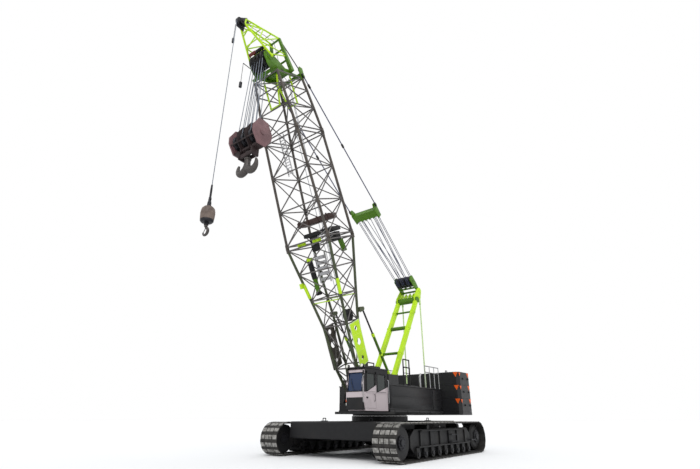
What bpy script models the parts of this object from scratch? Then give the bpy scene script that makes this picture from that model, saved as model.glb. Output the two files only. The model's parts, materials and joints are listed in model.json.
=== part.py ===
"""A crawler crane: tracked undercarriage, slewing upper with cab and counterweight, lattice boom,
luffing gear and two hooks.

Metres, +Z up, +X to the crane's front, +Y to its left. Lengths along X are counted from the slew axis,
and the whole crane hangs on one empty that centres its length on the world's origin. The boom and the
luffing line are drawn lying along X, with their upper side at +Z, and are then turned to their angle.
"""

import math

import bmesh
import bpy
from mathutils import Matrix, Vector

# Undercarriage
TRACK_FRONT = 4.60
TRACK_REAR = -4.40
TRACK_HEIGHT = 1.46
TRACK_WIDTH = 1.10
TRACK_GAUGE = 6.40
SHOE_THICKNESS = 0.10
END_ARC_STEPS = 10
ROLLER_RADIUS = 0.16
ROLLER_COUNT = 9
ROLLER_HALF_WIDTH = 0.42
IDLER_HUB_RADIUS = 0.40
FRAME_FRONT = 3.10
FRAME_REAR = -2.85
FRAME_WIDTH = 0.62
BEAM_LOW = 0.72
BEAM_TOP = 1.42
BEAM_REACH = 1.85
BALLAST_FACE = 3.95
BALLAST_HALF_WIDTHS = {"front": 2.46, "rear": 2.30}
SLEW_RING_RADIUS = 1.42

# Upper structure
DECK_LOW = 1.80
DECK_TOP = 2.28
BAY_HALF_WIDTH = 0.98
HOUSE_SIDE = 1.50
HOUSE_FRONT = 1.42
HOUSE_REAR = -4.20
HOUSE_TOP = 3.10
HOUSE_BOXES = {
    "left": ((0.45, 1.36, 3.58),),
    "right": ((-3.60, -1.90, 3.34), (0.10, 1.30, 3.42)),
}
CAB_REAR = 1.98
CAB_FRONT = 3.90
CAB_INNER = 0.86
CAB_OUTER = 1.80
CAB_LOW = 1.90
CAB_TOP = 3.66
CAB_WALL = 0.05
SILL = 2.66
DOOR_REAR = 2.92
DOOR_FRONT = 3.74
WEIGHT_FRONT = -4.30
WEIGHT_REAR = -6.00
WEIGHT_HALF_WIDTH = 2.60
WEIGHT_LEVELS = (1.76, 1.92, 2.62, 3.34, 4.05)

# Winch drums: distance from the slew axis, height and barrel radius
DRUMS = {
    "main": (-1.05, 2.90, 0.34),
    "auxiliary": (-2.20, 2.90, 0.34),
    "luffing": (-3.25, 2.84, 0.28),
}
DRUM_HALF_WIDTH = 0.46

# Gantry and luffing gear
GANTRY_FOOT = Vector((0.25, 0.0, 2.42))
GANTRY_TOP = Vector((-3.50, 0.0, 8.40))
GANTRY_HALF_WIDTH = 0.63
GANTRY_LEG_RADIUS = 0.165
LUFF_PIVOT = Vector((-4.00, 0.0, 9.10))
BLOCK_REACH = 0.84
BRIDLE_NEAR = 6.02
BRIDLE_FAR = 6.36
BRIDLE_PIN = 6.58
BRIDLE_HALF_WIDTH = 0.80
PENDANT_SIDE = 0.92

# Boom
BOOM_FOOT = Vector((1.80, 0.0, 2.60))
BOOM_ANGLE = 66.0
FOOT_PLATES = (0.43, 0.69)
JOINT_1 = 7.80
JOINT_2 = 13.25
JOINT_1_HALF_WIDTH = 1.33
JOINT_2_HALF_WIDTH = 1.11
BOOM_HALF_DEPTH = 1.00
SIDE_PLATE_FACE = 0.80
CHORD_RADIUS = 0.065
LACING_RADIUS = 0.034
HEAD_SHEAVE = Vector((17.10, 0.0, -1.03))
ANCHOR = Vector((16.38, 0.0, 0.83))
POST_TOP = Vector((18.64, 0.0, 0.42))
POST_HALF_WIDTHS = (0.68, 0.30)
TIP_SHEAVE = Vector((18.88, 0.0, -1.86))
TIP_HALF_WIDTH = 0.16
SHEAVE_RADIUS = 0.42
TIP_SHEAVE_RADIUS = 0.26
ROPE_SHARE = 0.86
TIP_REACH = 0.514

# Backstops, between the deck and the upper side of the boom's base
STOP_DECK = Vector((0.20, 0.0, 3.50))
STOP_ON_BOOM = Vector((4.03, 0.0, 0.90))
STOP_SIDE = 0.86

# Hooks
BLOCK_X = 9.86
BLOCK_LEVEL = 13.08
BLOCK_HALF_WIDTH = 0.80
BALL_LEVEL = 8.72

# Each hook's bar: distance to the side, height from its block's or ball's centre, and radius
DOUBLE_HOOK = (
    (0.00, -1.10, 0.13), (0.05, -1.44, 0.15), (0.17, -1.72, 0.15), (0.38, -1.82, 0.14), (0.56, -1.68, 0.12),
    (0.60, -1.42, 0.085), (0.54, -1.22, 0.05))
SINGLE_HOOK = (
    (0.00, -0.46, 0.05), (0.02, -0.56, 0.05), (0.13, -0.64, 0.055), (0.16, -0.76, 0.055), (0.07, -0.86, 0.05),
    (-0.07, -0.84, 0.04), (-0.13, -0.74, 0.025))

GAP = 0.006
ROUND = 16

FINISHES = {
    "lime_paint": ((0.52, 0.78, 0.06), 0.40, 0.0),
    "olive_paint": ((0.20, 0.32, 0.05), 0.45, 0.0),
    "chord_paint": ((0.13, 0.12, 0.11), 0.50, 0.0),
    "charcoal_paint": ((0.032, 0.032, 0.036), 0.45, 0.0),
    "frame_black": ((0.018, 0.018, 0.020), 0.55, 0.0),
    "silver_paint": ((0.55, 0.53, 0.53), 0.40, 0.0),
    "shoe_steel": ((0.24, 0.23, 0.22), 0.55, 0.9),
    "dark_steel": ((0.05, 0.05, 0.06), 0.45, 0.8),
    "hook_brown": ((0.13, 0.07, 0.065), 0.55, 0.0),
    "hook_steel": ((0.20, 0.17, 0.15), 0.50, 0.8),
    "cab_glass": ((0.04, 0.09, 0.17), 0.08, 0.0),
    "seat_vinyl": ((0.03, 0.03, 0.03), 0.60, 0.0),
}


# ------------------------------------------------------------------ shapes

def add_box(bm, low, high):
    """A box between two corners."""
    low, high = Vector(low), Vector(high)
    made = bmesh.ops.create_cube(bm, size=1.0)["verts"]
    place = Matrix.Translation((low + high) / 2) @ Matrix.Diagonal((*(high - low), 1.0))
    bmesh.ops.transform(bm, verts=made, matrix=place)


def add_rod(bm, start, end, radius, sides=ROUND, end_radius=None, roll=0.0):
    """A round or many-sided bar between two points."""
    start, end = Vector(start), Vector(end)
    along = end - start
    place = Matrix.Translation((start + end) / 2) @ along.to_track_quat("Z", "Y").to_matrix().to_4x4()
    place = place @ Matrix.Rotation(math.radians(roll), 4, "Z")
    bmesh.ops.create_cone(
        bm, cap_ends=True, segments=sides, radius1=radius,
        radius2=radius if end_radius is None else end_radius, depth=along.length, matrix=place)


def add_plate(bm, outline, low_y, high_y):
    """A plate with an (x, z) outline, from low_y to high_y."""
    face = bm.faces.new([bm.verts.new((x, low_y, z)) for x, z in outline])
    made = bmesh.ops.extrude_face_region(bm, geom=[face])["geom"]
    moved = [item for item in made if isinstance(item, bmesh.types.BMVert)]
    bmesh.ops.translate(bm, verts=moved, vec=(0.0, high_y - low_y, 0.0))


def add_slab(bm, outline, low_z, high_z):
    """A slab with an (x, y) outline, from low_z to high_z."""
    face = bm.faces.new([bm.verts.new((x, y, low_z)) for x, y in outline])
    made = bmesh.ops.extrude_face_region(bm, geom=[face])["geom"]
    moved = [item for item in made if isinstance(item, bmesh.types.BMVert)]
    bmesh.ops.translate(bm, verts=moved, vec=(0.0, 0.0, high_z - low_z))


def add_turned(bm, centre, profile, axis="Y", sides=ROUND):
    """A solid turned about an axis through centre, from (radius, distance along the axis) points."""
    centre = Vector(centre)
    rings = []
    for radius, along in profile:
        ring = []
        for step in range(sides):
            angle = 2 * math.pi * step / sides
            across = radius * math.cos(angle), radius * math.sin(angle)
            if axis == "Y":
                offset = (across[0], along, across[1])
            else:
                offset = (across[0], across[1], along)
            ring.append(bm.verts.new(centre + Vector(offset)))
        rings.append(ring)
    for lower, upper in zip(rings, rings[1:]):
        for step in range(sides):
            after = (step + 1) % sides
            bm.faces.new((lower[step], lower[after], upper[after], upper[step]))
    bm.faces.new(rings[0])
    bm.faces.new(rings[-1])


def add_ring_band(bm, outer, inner, low_y, high_y):
    """A closed band between two (x, z) outlines that have the same number of points."""
    count = len(outer)
    loops = [
        [bm.verts.new((x, y, z)) for x, z in outline]
        for outline, y in ((outer, low_y), (outer, high_y), (inner, high_y), (inner, low_y))]
    for near, far in zip(loops, loops[1:] + loops[:1]):
        for step in range(count):
            after = (step + 1) % count
            bm.faces.new((near[step], near[after], far[after], far[step]))


def arc(centre, radius, start, end, steps):
    """(x, z) points on an arc, with its angles in degrees."""
    return [
        (centre[0] + radius * math.cos(math.radians(start + (end - start) * step / steps)),
         centre[1] + radius * math.sin(math.radians(start + (end - start) * step / steps)))
        for step in range(steps + 1)]


# ------------------------------------------------------------------ objects

def finish_named(name):
    """The material with this name, made on first use."""
    found = bpy.data.materials.get(name)
    if found:
        return found
    colour, roughness, metallic = FINISHES[name]
    made = bpy.data.materials.new(name)
    made.use_nodes = True
    shader = made.node_tree.nodes["Principled BSDF"]
    shader.inputs["Base Color"].default_value = (*colour, 1.0)
    shader.inputs["Roughness"].default_value = roughness
    shader.inputs["Metallic"].default_value = metallic
    return made


def mesh_from(bm, name):
    """A smooth-shaded mesh with outward normals, and the bmesh freed."""
    bmesh.ops.recalc_face_normals(bm, faces=bm.faces)
    mesh = bpy.data.meshes.new(name)
    bm.to_mesh(mesh)
    bm.free()
    mesh.shade_smooth()
    mesh.set_sharp_from_angle(angle=math.radians(32))
    return mesh


def first_shell(bm):
    """The vertices of one closed shell of the bmesh."""
    bm.verts.ensure_lookup_table()
    found, edge_of_search = {bm.verts[0]}, [bm.verts[0]]
    while edge_of_search:
        vert = edge_of_search.pop()
        for edge in vert.link_edges:
            other = edge.other_vert(vert)
            if other not in found:
                found.add(other)
                edge_of_search.append(other)
    return found


def place(obj, pivot, angle):
    """Puts an object's origin on its pivot, turned up by an angle, under the crane's datum."""
    obj.parent = bpy.data.objects["crane_datum"]
    obj.location = pivot
    obj.rotation_euler = (0.0, -math.radians(angle), 0.0)
    bpy.context.scene.collection.objects.link(obj)


def helper_object(name, bm, pivot, angle):
    """A Boolean's operand, which isn't part of the crane."""
    helper = bpy.data.objects.new(name, mesh_from(bm, name))
    place(helper, pivot, angle)
    helper.hide_render = True
    helper.display_type = "WIRE"
    return helper


def solid(name, bm, finish, pivot=(0.0, 0.0, 0.0), angle=0.0, fuse=False, cutters=None, local=False):
    """One named piece of the crane, with its origin on its pivot.

    The shapes are drawn in the crane's frame unless local is set, and then in the pivot's frame. fuse
    joins shells that run into each other, and cutters is a bmesh to be cut away.
    """
    pivot = Vector(pivot)
    to_pivot = Matrix.Translation((0, 0, 0)) if local else Matrix.Translation(-pivot)
    operands = []
    if fuse:
        rest = bm.copy()
        keep = first_shell(bm)
        bmesh.ops.delete(bm, geom=[vert for vert in bm.verts if vert not in keep], context="VERTS")
        bmesh.ops.delete(rest, geom=list(first_shell(rest)), context="VERTS")
        operands.append(("UNION", rest))
    if cutters:
        operands.append(("DIFFERENCE", cutters))
    bmesh.ops.transform(bm, verts=bm.verts, matrix=to_pivot)
    obj = bpy.data.objects.new(name, mesh_from(bm, name))
    obj.data.materials.append(finish_named(finish))
    place(obj, pivot, angle)
    for number, (operation, shape) in enumerate(operands):
        bmesh.ops.transform(shape, verts=shape.verts, matrix=to_pivot)
        modifier = obj.modifiers.new(operation.lower(), "BOOLEAN")
        modifier.operation = operation
        modifier.solver = "EXACT"
        modifier.use_self = True
        modifier.object = helper_object(f"{name}_operand_{number}", shape, pivot, angle)
    return obj


def clear_scene():
    """Removes what the startup file holds, and adds the datum that every piece hangs on."""
    for obj in list(bpy.data.objects):
        bpy.data.objects.remove(obj)
    tip = boom_point(TIP_SHEAVE)
    datum = bpy.data.objects.new("crane_datum", None)
    datum.location.x = -(tip.x + TIP_REACH + WEIGHT_REAR) / 2
    bpy.context.scene.collection.objects.link(datum)


def boom_point(point):
    """A point of the lying boom, in the crane's frame."""
    return BOOM_FOOT + Matrix.Rotation(-math.radians(BOOM_ANGLE), 3, "Y") @ Vector(point)


def luffing_line():
    """The angle of the luffing line, in degrees, and its length from the gantry to the boom's anchor."""
    along = boom_point(ANCHOR) - LUFF_PIVOT
    return math.degrees(math.atan2(along.z, along.x)), along.length


def line_point(reach):
    """The point at a distance along the luffing line, in the crane's frame."""
    return LUFF_PIVOT.lerp(boom_point(ANCHOR), reach / luffing_line()[1])


# ------------------------------------------------------------------ undercarriage

def track_outline(inset):
    """The (x, z) loop of a track, drawn in from its outside by inset."""
    radius = TRACK_HEIGHT / 2
    front, rear = (TRACK_FRONT - radius, radius), (TRACK_REAR + radius, radius)
    return (
        arc(front, radius - inset, -90, 90, END_ARC_STEPS)
        + arc(rear, radius - inset, 90, 270, END_ARC_STEPS))


def build_side(side, name):
    """One crawler: its track, frame with rollers, idler, sprocket and final drive."""
    centre = side * TRACK_GAUGE / 2
    radius = TRACK_HEIGHT / 2
    inside = TRACK_HEIGHT / 2 - SHOE_THICKNESS
    half = TRACK_WIDTH / 2

    bm = bmesh.new()
    add_ring_band(bm, track_outline(0.0), track_outline(SHOE_THICKNESS), centre - half, centre + half)
    solid(f"{name}_track", bm, "shoe_steel")

    bm = bmesh.new()
    low = SHOE_THICKNESS + GAP + ROLLER_RADIUS * 1.2
    half_frame = FRAME_WIDTH / 2
    outline = [
        (FRAME_REAR, 0.52), (FRAME_REAR + 0.25, low), (FRAME_FRONT - 0.25, low), (FRAME_FRONT, 0.52),
        (FRAME_FRONT, 0.92), (FRAME_FRONT - 0.35, 1.18), (FRAME_REAR + 0.35, 1.18), (FRAME_REAR, 0.92)]
    add_plate(bm, outline, centre - half_frame, centre + half_frame)
    pitch = (FRAME_FRONT - FRAME_REAR - 0.9) / (ROLLER_COUNT - 1)
    for number in range(ROLLER_COUNT):
        x = FRAME_REAR + 0.45 + pitch * number
        z = SHOE_THICKNESS + GAP + ROLLER_RADIUS
        reach = ROLLER_HALF_WIDTH
        add_rod(bm, (x, centre - reach, z), (x, centre + reach, z), ROLLER_RADIUS, sides=12)
    for x in (-1.6, 1.5):
        z = TRACK_HEIGHT - SHOE_THICKNESS - GAP - 0.11
        add_rod(bm, (x, centre - 0.30, z), (x, centre + 0.30, z), 0.11, sides=12)
    solid(f"{name}_crawler_frame", bm, "frame_black", fuse=True)

    bm = bmesh.new()
    rim = inside - 0.02
    hub = IDLER_HUB_RADIUS
    profile = [(hub, -0.34), (rim, -0.34), (rim, -0.16), (hub + 0.04, -0.12), (hub + 0.04, 0.12), (rim, 0.16),
               (rim, 0.34), (hub, 0.34)]
    add_turned(bm, (TRACK_FRONT - radius, centre, radius), profile)
    solid(f"{name}_idler", bm, "dark_steel", pivot=(TRACK_FRONT - radius, centre, radius))

    bm = bmesh.new()
    drive = [(0.36, -half - 0.24), (0.42, -half - 0.18), (0.42, -0.32), (0.50, -0.26), (inside - 0.02, -0.20),
             (inside - 0.02, 0.20), (0.50, 0.26), (0.30, 0.30)]
    profile = drive if side == 1 else [(reach, -along) for reach, along in reversed(drive)]
    add_turned(bm, (TRACK_REAR + radius, centre, radius), profile)
    solid(f"{name}_sprocket_drive", bm, "dark_steel", pivot=(TRACK_REAR + radius, centre, radius))


def build_undercarriage():
    """Both crawlers, the carbody between them, its ballast and the slew ring."""
    for side, name in ((1, "left"), (-1, "right")):
        build_side(side, name)

    bm = bmesh.new()
    frame_side = TRACK_GAUGE / 2 - FRAME_WIDTH / 2 - 0.002
    add_box(bm, (-1.62, -1.60, BEAM_LOW - 0.12), (1.62, 1.60, BEAM_TOP))
    for x in (-BEAM_REACH, BEAM_REACH):
        near, far = sorted((x, x * 0.62))
        add_box(bm, (near, -frame_side, BEAM_LOW - 0.08), (far, frame_side, BEAM_TOP - 0.30))
        add_box(bm, (near + 0.03, -2.40, BEAM_LOW), (far - 0.03, 2.40, BEAM_TOP - 0.03))
    seat = SLEW_RING_RADIUS - 0.02
    add_turned(bm, (0, 0, 0), [(seat, BEAM_TOP - 0.2), (seat, BEAM_TOP + 0.04)], axis="Z", sides=32)
    solid("carbody", bm, "frame_black", fuse=True)

    for end, name in ((1, "front"), (-1, "rear")):
        bm = bmesh.new()
        low, high = sorted((end * (BEAM_REACH + GAP), end * BALLAST_FACE))
        half = BALLAST_HALF_WIDTHS[name]
        add_box(bm, (low, -half, 0.76), (high, half, 1.47))
        bmesh.ops.bevel(bm, geom=bm.edges, offset=0.05, segments=1, affect="EDGES")
        solid(f"{name}_central_ballast", bm, "frame_black")

    bm = bmesh.new()
    profile = [(1.30, BEAM_TOP + 0.042), (SLEW_RING_RADIUS, BEAM_TOP + 0.042),
               (SLEW_RING_RADIUS, DECK_LOW - 0.10), (1.30, DECK_LOW - 0.10)]
    add_turned(bm, (0, 0, 0), profile, axis="Z", sides=32)
    solid("slew_ring", bm, "dark_steel")


# ------------------------------------------------------------------ upper structure

def build_upper_frame():
    """The slewing deck, with the boom's and gantry's foot brackets and the arm below the cab."""
    bm = bmesh.new()
    add_box(bm, (HOUSE_REAR, -BAY_HALF_WIDTH + GAP, DECK_LOW), (1.90, BAY_HALF_WIDTH - GAP, DECK_TOP))
    add_box(bm, (1.60, -0.80, DECK_LOW + 0.02), (2.30, 0.80, DECK_TOP - 0.01))
    add_box(bm, (HOUSE_REAR + 0.05, -HOUSE_SIDE + 0.04, DECK_LOW + 0.01),
            (HOUSE_FRONT - 0.02, HOUSE_SIDE - 0.04, DECK_LOW + 0.16))
    add_box(bm, (1.30, 0.20, DECK_LOW - 0.03), (CAB_FRONT - 0.04, CAB_OUTER - 0.06, CAB_LOW - 0.03))
    add_turned(bm, (0, 0, 0), [(1.38, DECK_LOW - 0.09), (1.38, DECK_LOW + 0.12)], axis="Z", sides=32)
    add_box(bm, (WEIGHT_FRONT - 0.9, -0.90, DECK_LOW + 0.14), (HOUSE_REAR + 0.3, 0.90, DECK_TOP - 0.03))
    foot = BOOM_FOOT
    for side in (-1, 1):
        for y in FOOT_PLATES:
            centre = side * y
            outline = [(1.20, 2.20), (2.25, 2.20)] + arc((foot.x, foot.z), 0.26, -25, 205, 10)
            add_plate(bm, outline, centre - 0.03, centre + 0.03)
        y = side * (GANTRY_HALF_WIDTH + 0.19)
        outline = [(-0.15, 2.20), (0.65, 2.20)]
        outline += arc((GANTRY_FOOT.x, GANTRY_FOOT.z + 0.03), 0.20, -10, 190, 8)
        add_plate(bm, outline, y - 0.025, y + 0.025)
        y = side * STOP_SIDE
        for edge in (-0.088, 0.088):
            outline = [(-0.05, 2.20), (0.45, 2.20)] + arc((STOP_DECK.x, STOP_DECK.z), 0.14, -10, 190, 6)
            add_plate(bm, outline, y + edge - 0.014, y + edge + 0.014)
        add_box(bm, (-0.02, y - 0.075, 2.22), (0.40, y + 0.075, 3.20))
    solid("upper_frame", bm, "frame_black", fuse=True)


def build_houses():
    """The two machinery houses beside the central bay, and what stands on them."""
    for side, name in ((1, "left"), (-1, "right")):
        low, high = sorted((side * (BAY_HALF_WIDTH + GAP), side * HOUSE_SIDE))
        bm = bmesh.new()
        add_box(bm, (HOUSE_REAR, low, DECK_LOW + 0.18), (HOUSE_FRONT, high, HOUSE_TOP))
        for box_rear, box_front, top in HOUSE_BOXES[name]:
            add_box(bm, (box_rear, low + 0.02, HOUSE_TOP - 0.2), (box_front, high - 0.02, top))
        solid(f"{name}_house", bm, "charcoal_paint", fuse=True)


def build_counterweight():
    """The tray and the three layers of slabs behind the house."""
    names = ("counterweight_tray", "lower_counterweight", "middle_counterweight", "upper_counterweight")
    half = WEIGHT_HALF_WIDTH
    for number, name in enumerate(names):
        low, high = WEIGHT_LEVELS[number], WEIGHT_LEVELS[number + 1]
        bm = bmesh.new()
        corner = 0.16
        rear_corner = 0.30
        outline = [
            (WEIGHT_FRONT - corner, -half), (WEIGHT_FRONT, -half + corner), (WEIGHT_FRONT, half - corner),
            (WEIGHT_FRONT - corner, half), (WEIGHT_REAR + rear_corner, half),
            (WEIGHT_REAR, half - rear_corner),
            (WEIGHT_REAR, -half + rear_corner), (WEIGHT_REAR + rear_corner, -half)]
        add_slab(bm, outline, low + (GAP if number else 0.0), high)
        cut = None
        if number < 2:
            cut = bmesh.new()
            top = DECK_TOP + 0.02 if number else high + 0.2
            add_box(cut, (WEIGHT_FRONT - 0.95, -0.95, low - 0.2), (WEIGHT_FRONT + 0.3, 0.95, top))
        solid(name, bm, "charcoal_paint" if number else "frame_black", cutters=cut)


def build_gantry():
    """The A-frame mast with its head, and the stays behind it."""
    bm = bmesh.new()
    half = GANTRY_HALF_WIDTH
    for y in (-half, half):
        across = Vector((0.0, y, 0.0))
        add_rod(bm, GANTRY_FOOT + across, GANTRY_TOP + across, GANTRY_LEG_RADIUS, sides=4, roll=45)
    side = Vector((0.0, half, 0.0))
    for share, radius in ((0.16, 0.075), (0.42, 0.075), (0.68, 0.11), (0.86, 0.055)):
        at = GANTRY_FOOT.lerp(GANTRY_TOP, share)
        add_rod(bm, at - side, at + side, radius, sides=8)
    beam = Vector((0.0, half + 0.12, 0.0))
    add_rod(bm, GANTRY_TOP - beam, GANTRY_TOP + beam, 0.19, sides=8)
    for y in (-half, half):
        outline = [(-3.30, 8.30), (-3.22, 8.55), (-3.72, 9.16)]
        outline += arc((LUFF_PIVOT.x, LUFF_PIVOT.z), 0.20, 60, 200, 6) + [(-3.95, 8.45), (-3.62, 8.22)]
        add_plate(bm, outline, y - 0.03, y + 0.03)
    add_rod(bm, (-3.98, -half - 0.06, 8.62), (-3.98, half + 0.06, 8.62), 0.05, sides=8)
    for y in (-half, half):
        add_rod(bm, (-3.98, y, 8.60), (-4.02, y, DECK_TOP + GAP), 0.035, sides=8)
    solid("gantry", bm, "lime_paint", fuse=True)


def build_winches():
    """The three winches in the central bay: one bed with their stands, and a drum for each."""
    bm = bmesh.new()
    stand, low = DRUM_HALF_WIDTH + 0.04, DECK_TOP + 0.001
    add_box(bm, (DRUMS["luffing"][0] - 0.42, -stand, low), (DRUMS["main"][0] + 0.42, stand, low + 0.05))
    for x, z, _ in DRUMS.values():
        for y in (-stand, stand):
            outline = [(x - 0.40, low + 0.01), (x + 0.40, low + 0.01)] + arc((x, z), 0.20, 0, 180, 8)
            add_plate(bm, outline, y - 0.03, y + 0.03)
    solid("winch_bed", bm, "frame_black", fuse=True)

    for name, (x, z, radius) in DRUMS.items():
        bm = bmesh.new()
        edge = DRUM_HALF_WIDTH
        profile = [(radius + 0.12, -edge), (radius + 0.12, -edge + 0.04), (radius, -edge + 0.04),
                   (radius, edge - 0.04), (radius + 0.12, edge - 0.04), (radius + 0.12, edge)]
        add_turned(bm, (0, 0, 0), profile)
        solid(f"{name}_drum", bm, "dark_steel", pivot=(x, 0, z), local=True)


# ------------------------------------------------------------------ cab

def build_cab():
    """The hollow cab with its window openings, panes, door, seat and console."""
    bm = bmesh.new()
    outline = [
        (CAB_REAR, CAB_LOW), (CAB_FRONT - 0.16, CAB_LOW), (CAB_FRONT, SILL - 0.30), (CAB_FRONT, SILL + 0.35),
        (CAB_FRONT - 0.10, CAB_TOP - 0.10), (CAB_FRONT - 0.30, CAB_TOP), (CAB_REAR, CAB_TOP)]
    add_plate(bm, outline, CAB_INNER, CAB_OUTER)
    cut = bmesh.new()
    wall = CAB_WALL
    inner = [
        (CAB_REAR + wall, CAB_LOW + wall), (CAB_FRONT - 0.16 - wall, CAB_LOW + wall),
        (CAB_FRONT - wall, SILL - 0.28), (CAB_FRONT - wall, SILL + 0.33),
        (CAB_FRONT - 0.10 - wall, CAB_TOP - 0.14), (CAB_FRONT - 0.30 - wall, CAB_TOP - wall),
        (CAB_REAR + wall, CAB_TOP - wall)]
    add_plate(cut, inner, CAB_INNER + wall, CAB_OUTER - wall)
    door_low, door_top = CAB_LOW + 0.10, CAB_TOP - 0.12
    add_box(cut, (DOOR_REAR, CAB_OUTER - wall - 0.03, door_low), (DOOR_FRONT, CAB_OUTER + 0.05, door_top))
    low, high = SILL + 0.02, CAB_TOP - 0.20
    add_box(cut, (CAB_FRONT - 0.30, CAB_INNER + 0.09, low), (CAB_FRONT + 0.1, CAB_OUTER - 0.09, high))
    add_box(cut, (CAB_REAR + 0.16, CAB_OUTER - 0.1, low), (DOOR_REAR - 0.09, CAB_OUTER + 0.1, high))
    add_box(cut, (CAB_REAR + 0.16, CAB_INNER - 0.1, low), (CAB_FRONT - 0.40, CAB_INNER + 0.1, high))
    add_box(cut, (CAB_REAR - 0.1, CAB_INNER + 0.14, low), (CAB_REAR + 0.1, CAB_OUTER - 0.14, high - 0.04))
    solid("cab_shell", bm, "silver_paint", cutters=cut)

    hinge = (DOOR_REAR + 0.008, CAB_OUTER + 0.006, CAB_LOW)
    bm = bmesh.new()
    edge = 0.008
    add_box(bm, (DOOR_REAR + edge, CAB_OUTER - wall + 0.004, door_low + edge),
            (DOOR_FRONT - edge, CAB_OUTER - 0.004, door_top - edge))
    cut = bmesh.new()
    window_low, window_high = SILL + 0.02, door_top - 0.09
    add_box(cut, (DOOR_REAR + 0.09, CAB_OUTER - 0.2, window_low),
            (DOOR_FRONT - 0.09, CAB_OUTER + 0.2, window_high))
    solid("cab_door", bm, "silver_paint", pivot=hinge, cutters=cut)

    pane = 0.012
    panes = {
        "windscreen": ((CAB_FRONT - 0.045, CAB_INNER + 0.091, SILL + 0.021),
                       (CAB_FRONT - 0.045 + pane, CAB_OUTER - 0.091, SILL + 0.36)),
        "left_rear_window": ((CAB_REAR + 0.161, CAB_OUTER - 0.03, SILL + 0.021),
                             (DOOR_REAR - 0.091, CAB_OUTER - 0.03 + pane, CAB_TOP - 0.201)),
        "right_window": ((CAB_REAR + 0.161, CAB_INNER + 0.02, SILL + 0.021),
                         (CAB_FRONT - 0.401, CAB_INNER + 0.02 + pane, CAB_TOP - 0.201)),
    }
    for name, (low, high) in panes.items():
        bm = bmesh.new()
        if name == "windscreen":
            slope_top = (CAB_FRONT - 0.135, CAB_TOP - 0.201)
            x = low[0]
            outline = [(x, low[2]), (x + pane, low[2]), (x + pane, high[2]),
                       (slope_top[0] + pane, slope_top[1]), slope_top, (x, high[2])]
            add_plate(bm, outline, low[1], high[1])
        else:
            add_box(bm, low, high)
        solid(name, bm, "cab_glass")
    bm = bmesh.new()
    add_box(bm, (DOOR_REAR + 0.091, CAB_OUTER - 0.032, window_low + 0.001),
            (DOOR_FRONT - 0.091, CAB_OUTER - 0.020, window_high - 0.001))
    solid("door_window", bm, "cab_glass", pivot=hinge)

    bm = bmesh.new()
    middle = (CAB_INNER + CAB_OUTER) / 2
    floor = CAB_LOW + wall + 0.002
    add_box(bm, (2.45, middle - 0.16, floor), (2.85, middle + 0.16, floor + 0.26))
    add_box(bm, (2.38, middle - 0.25, floor + 0.25), (2.93, middle + 0.25, floor + 0.42))
    add_plate(bm, [(2.30, floor + 0.32), (2.46, floor + 0.32), (2.38, floor + 1.05), (2.24, floor + 1.05)],
              middle - 0.24, middle + 0.24)
    solid("operator_seat", bm, "seat_vinyl", fuse=True)

    bm = bmesh.new()
    add_plate(bm, [(3.45, floor), (3.66, floor), (3.80, 2.60), (3.50, 2.64)], middle - 0.30, middle + 0.10)
    solid("control_console", bm, "seat_vinyl")


# ------------------------------------------------------------------ boom

def add_lattice(bm, stations, chord=CHORD_RADIUS, lacing=LACING_RADIUS):
    """Four chords through the stations, with a batten frame at each and a diagonal in every panel.

    A station is (distance along the boom, half width, height of the lower chords, height of the upper).
    """
    corners = [
        [Vector((x, side * half, low if lower else high)) for x, half, low, high in stations]
        for side, lower in ((1, True), (1, False), (-1, False), (-1, True))]
    for chain in corners:
        for start, end in zip(chain, chain[1:]):
            add_rod(bm, start, end + (end - start).normalized() * 0.01, chord, sides=6)
    for face in range(4):
        near, far = corners[face], corners[(face + 1) % 4]
        for number in range(len(stations)):
            if number < len(stations) - 1:
                add_rod(bm, near[number], far[number], lacing * 1.03, sides=4, roll=20)
            if number + 1 < len(stations):
                first, second = (near, far) if (number + face) % 2 else (far, near)
                add_rod(bm, first[number], second[number + 1], lacing, sides=4, roll=45)
    end_frame = [chain[-1] for chain in corners]
    for start, end in zip(end_frame, end_frame[1:] + end_frame[:1]):
        add_rod(bm, start, end, lacing * 1.2, sides=4, roll=20)


def on_boom(name, bm, finish, **options):
    """A piece drawn on the lying boom."""
    return solid(name, bm, finish, pivot=BOOM_FOOT, angle=BOOM_ANGLE, local=True, **options)


BASE_STATIONS = (
    (0.45, 0.56, -0.16, 0.16),
    (1.50, 0.62, -0.42, 0.42),
    (3.60, 0.72, -0.47, 0.51),
    (5.00, 0.93, -0.64, 0.66),
    (6.40, 1.14, -0.83, 0.83),
    (JOINT_1 - 0.10, JOINT_1_HALF_WIDTH, -BOOM_HALF_DEPTH, BOOM_HALF_DEPTH),
)
INSERT_STATIONS = (
    (JOINT_1 + 0.10, JOINT_1_HALF_WIDTH, -BOOM_HALF_DEPTH, BOOM_HALF_DEPTH),
    (9.65, 1.265, -BOOM_HALF_DEPTH, BOOM_HALF_DEPTH),
    (11.40, 1.19, -BOOM_HALF_DEPTH, BOOM_HALF_DEPTH),
    (JOINT_2 - 0.10, JOINT_2_HALF_WIDTH, -BOOM_HALF_DEPTH, BOOM_HALF_DEPTH),
)
TOP_STATIONS = (
    (JOINT_2 + 0.10, JOINT_2_HALF_WIDTH, -BOOM_HALF_DEPTH, BOOM_HALF_DEPTH),
    (14.60, 0.98, -1.00, 0.95),
    (15.60, 0.875, -1.00, 0.90),
    (16.30, 0.80, -1.00, 0.84),
)


def add_joint_lugs(bm, x, half_width, direction):
    """The pin lugs at the four chord ends of a section's end."""
    for y in (-half_width, half_width):
        for z in (-BOOM_HALF_DEPTH, BOOM_HALF_DEPTH):
            low, high = sorted((x - direction * 0.12, x + direction * 0.085))
            add_box(bm, (low, y - 0.055, z - 0.085), (high, y + 0.055, z + 0.085))


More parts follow.
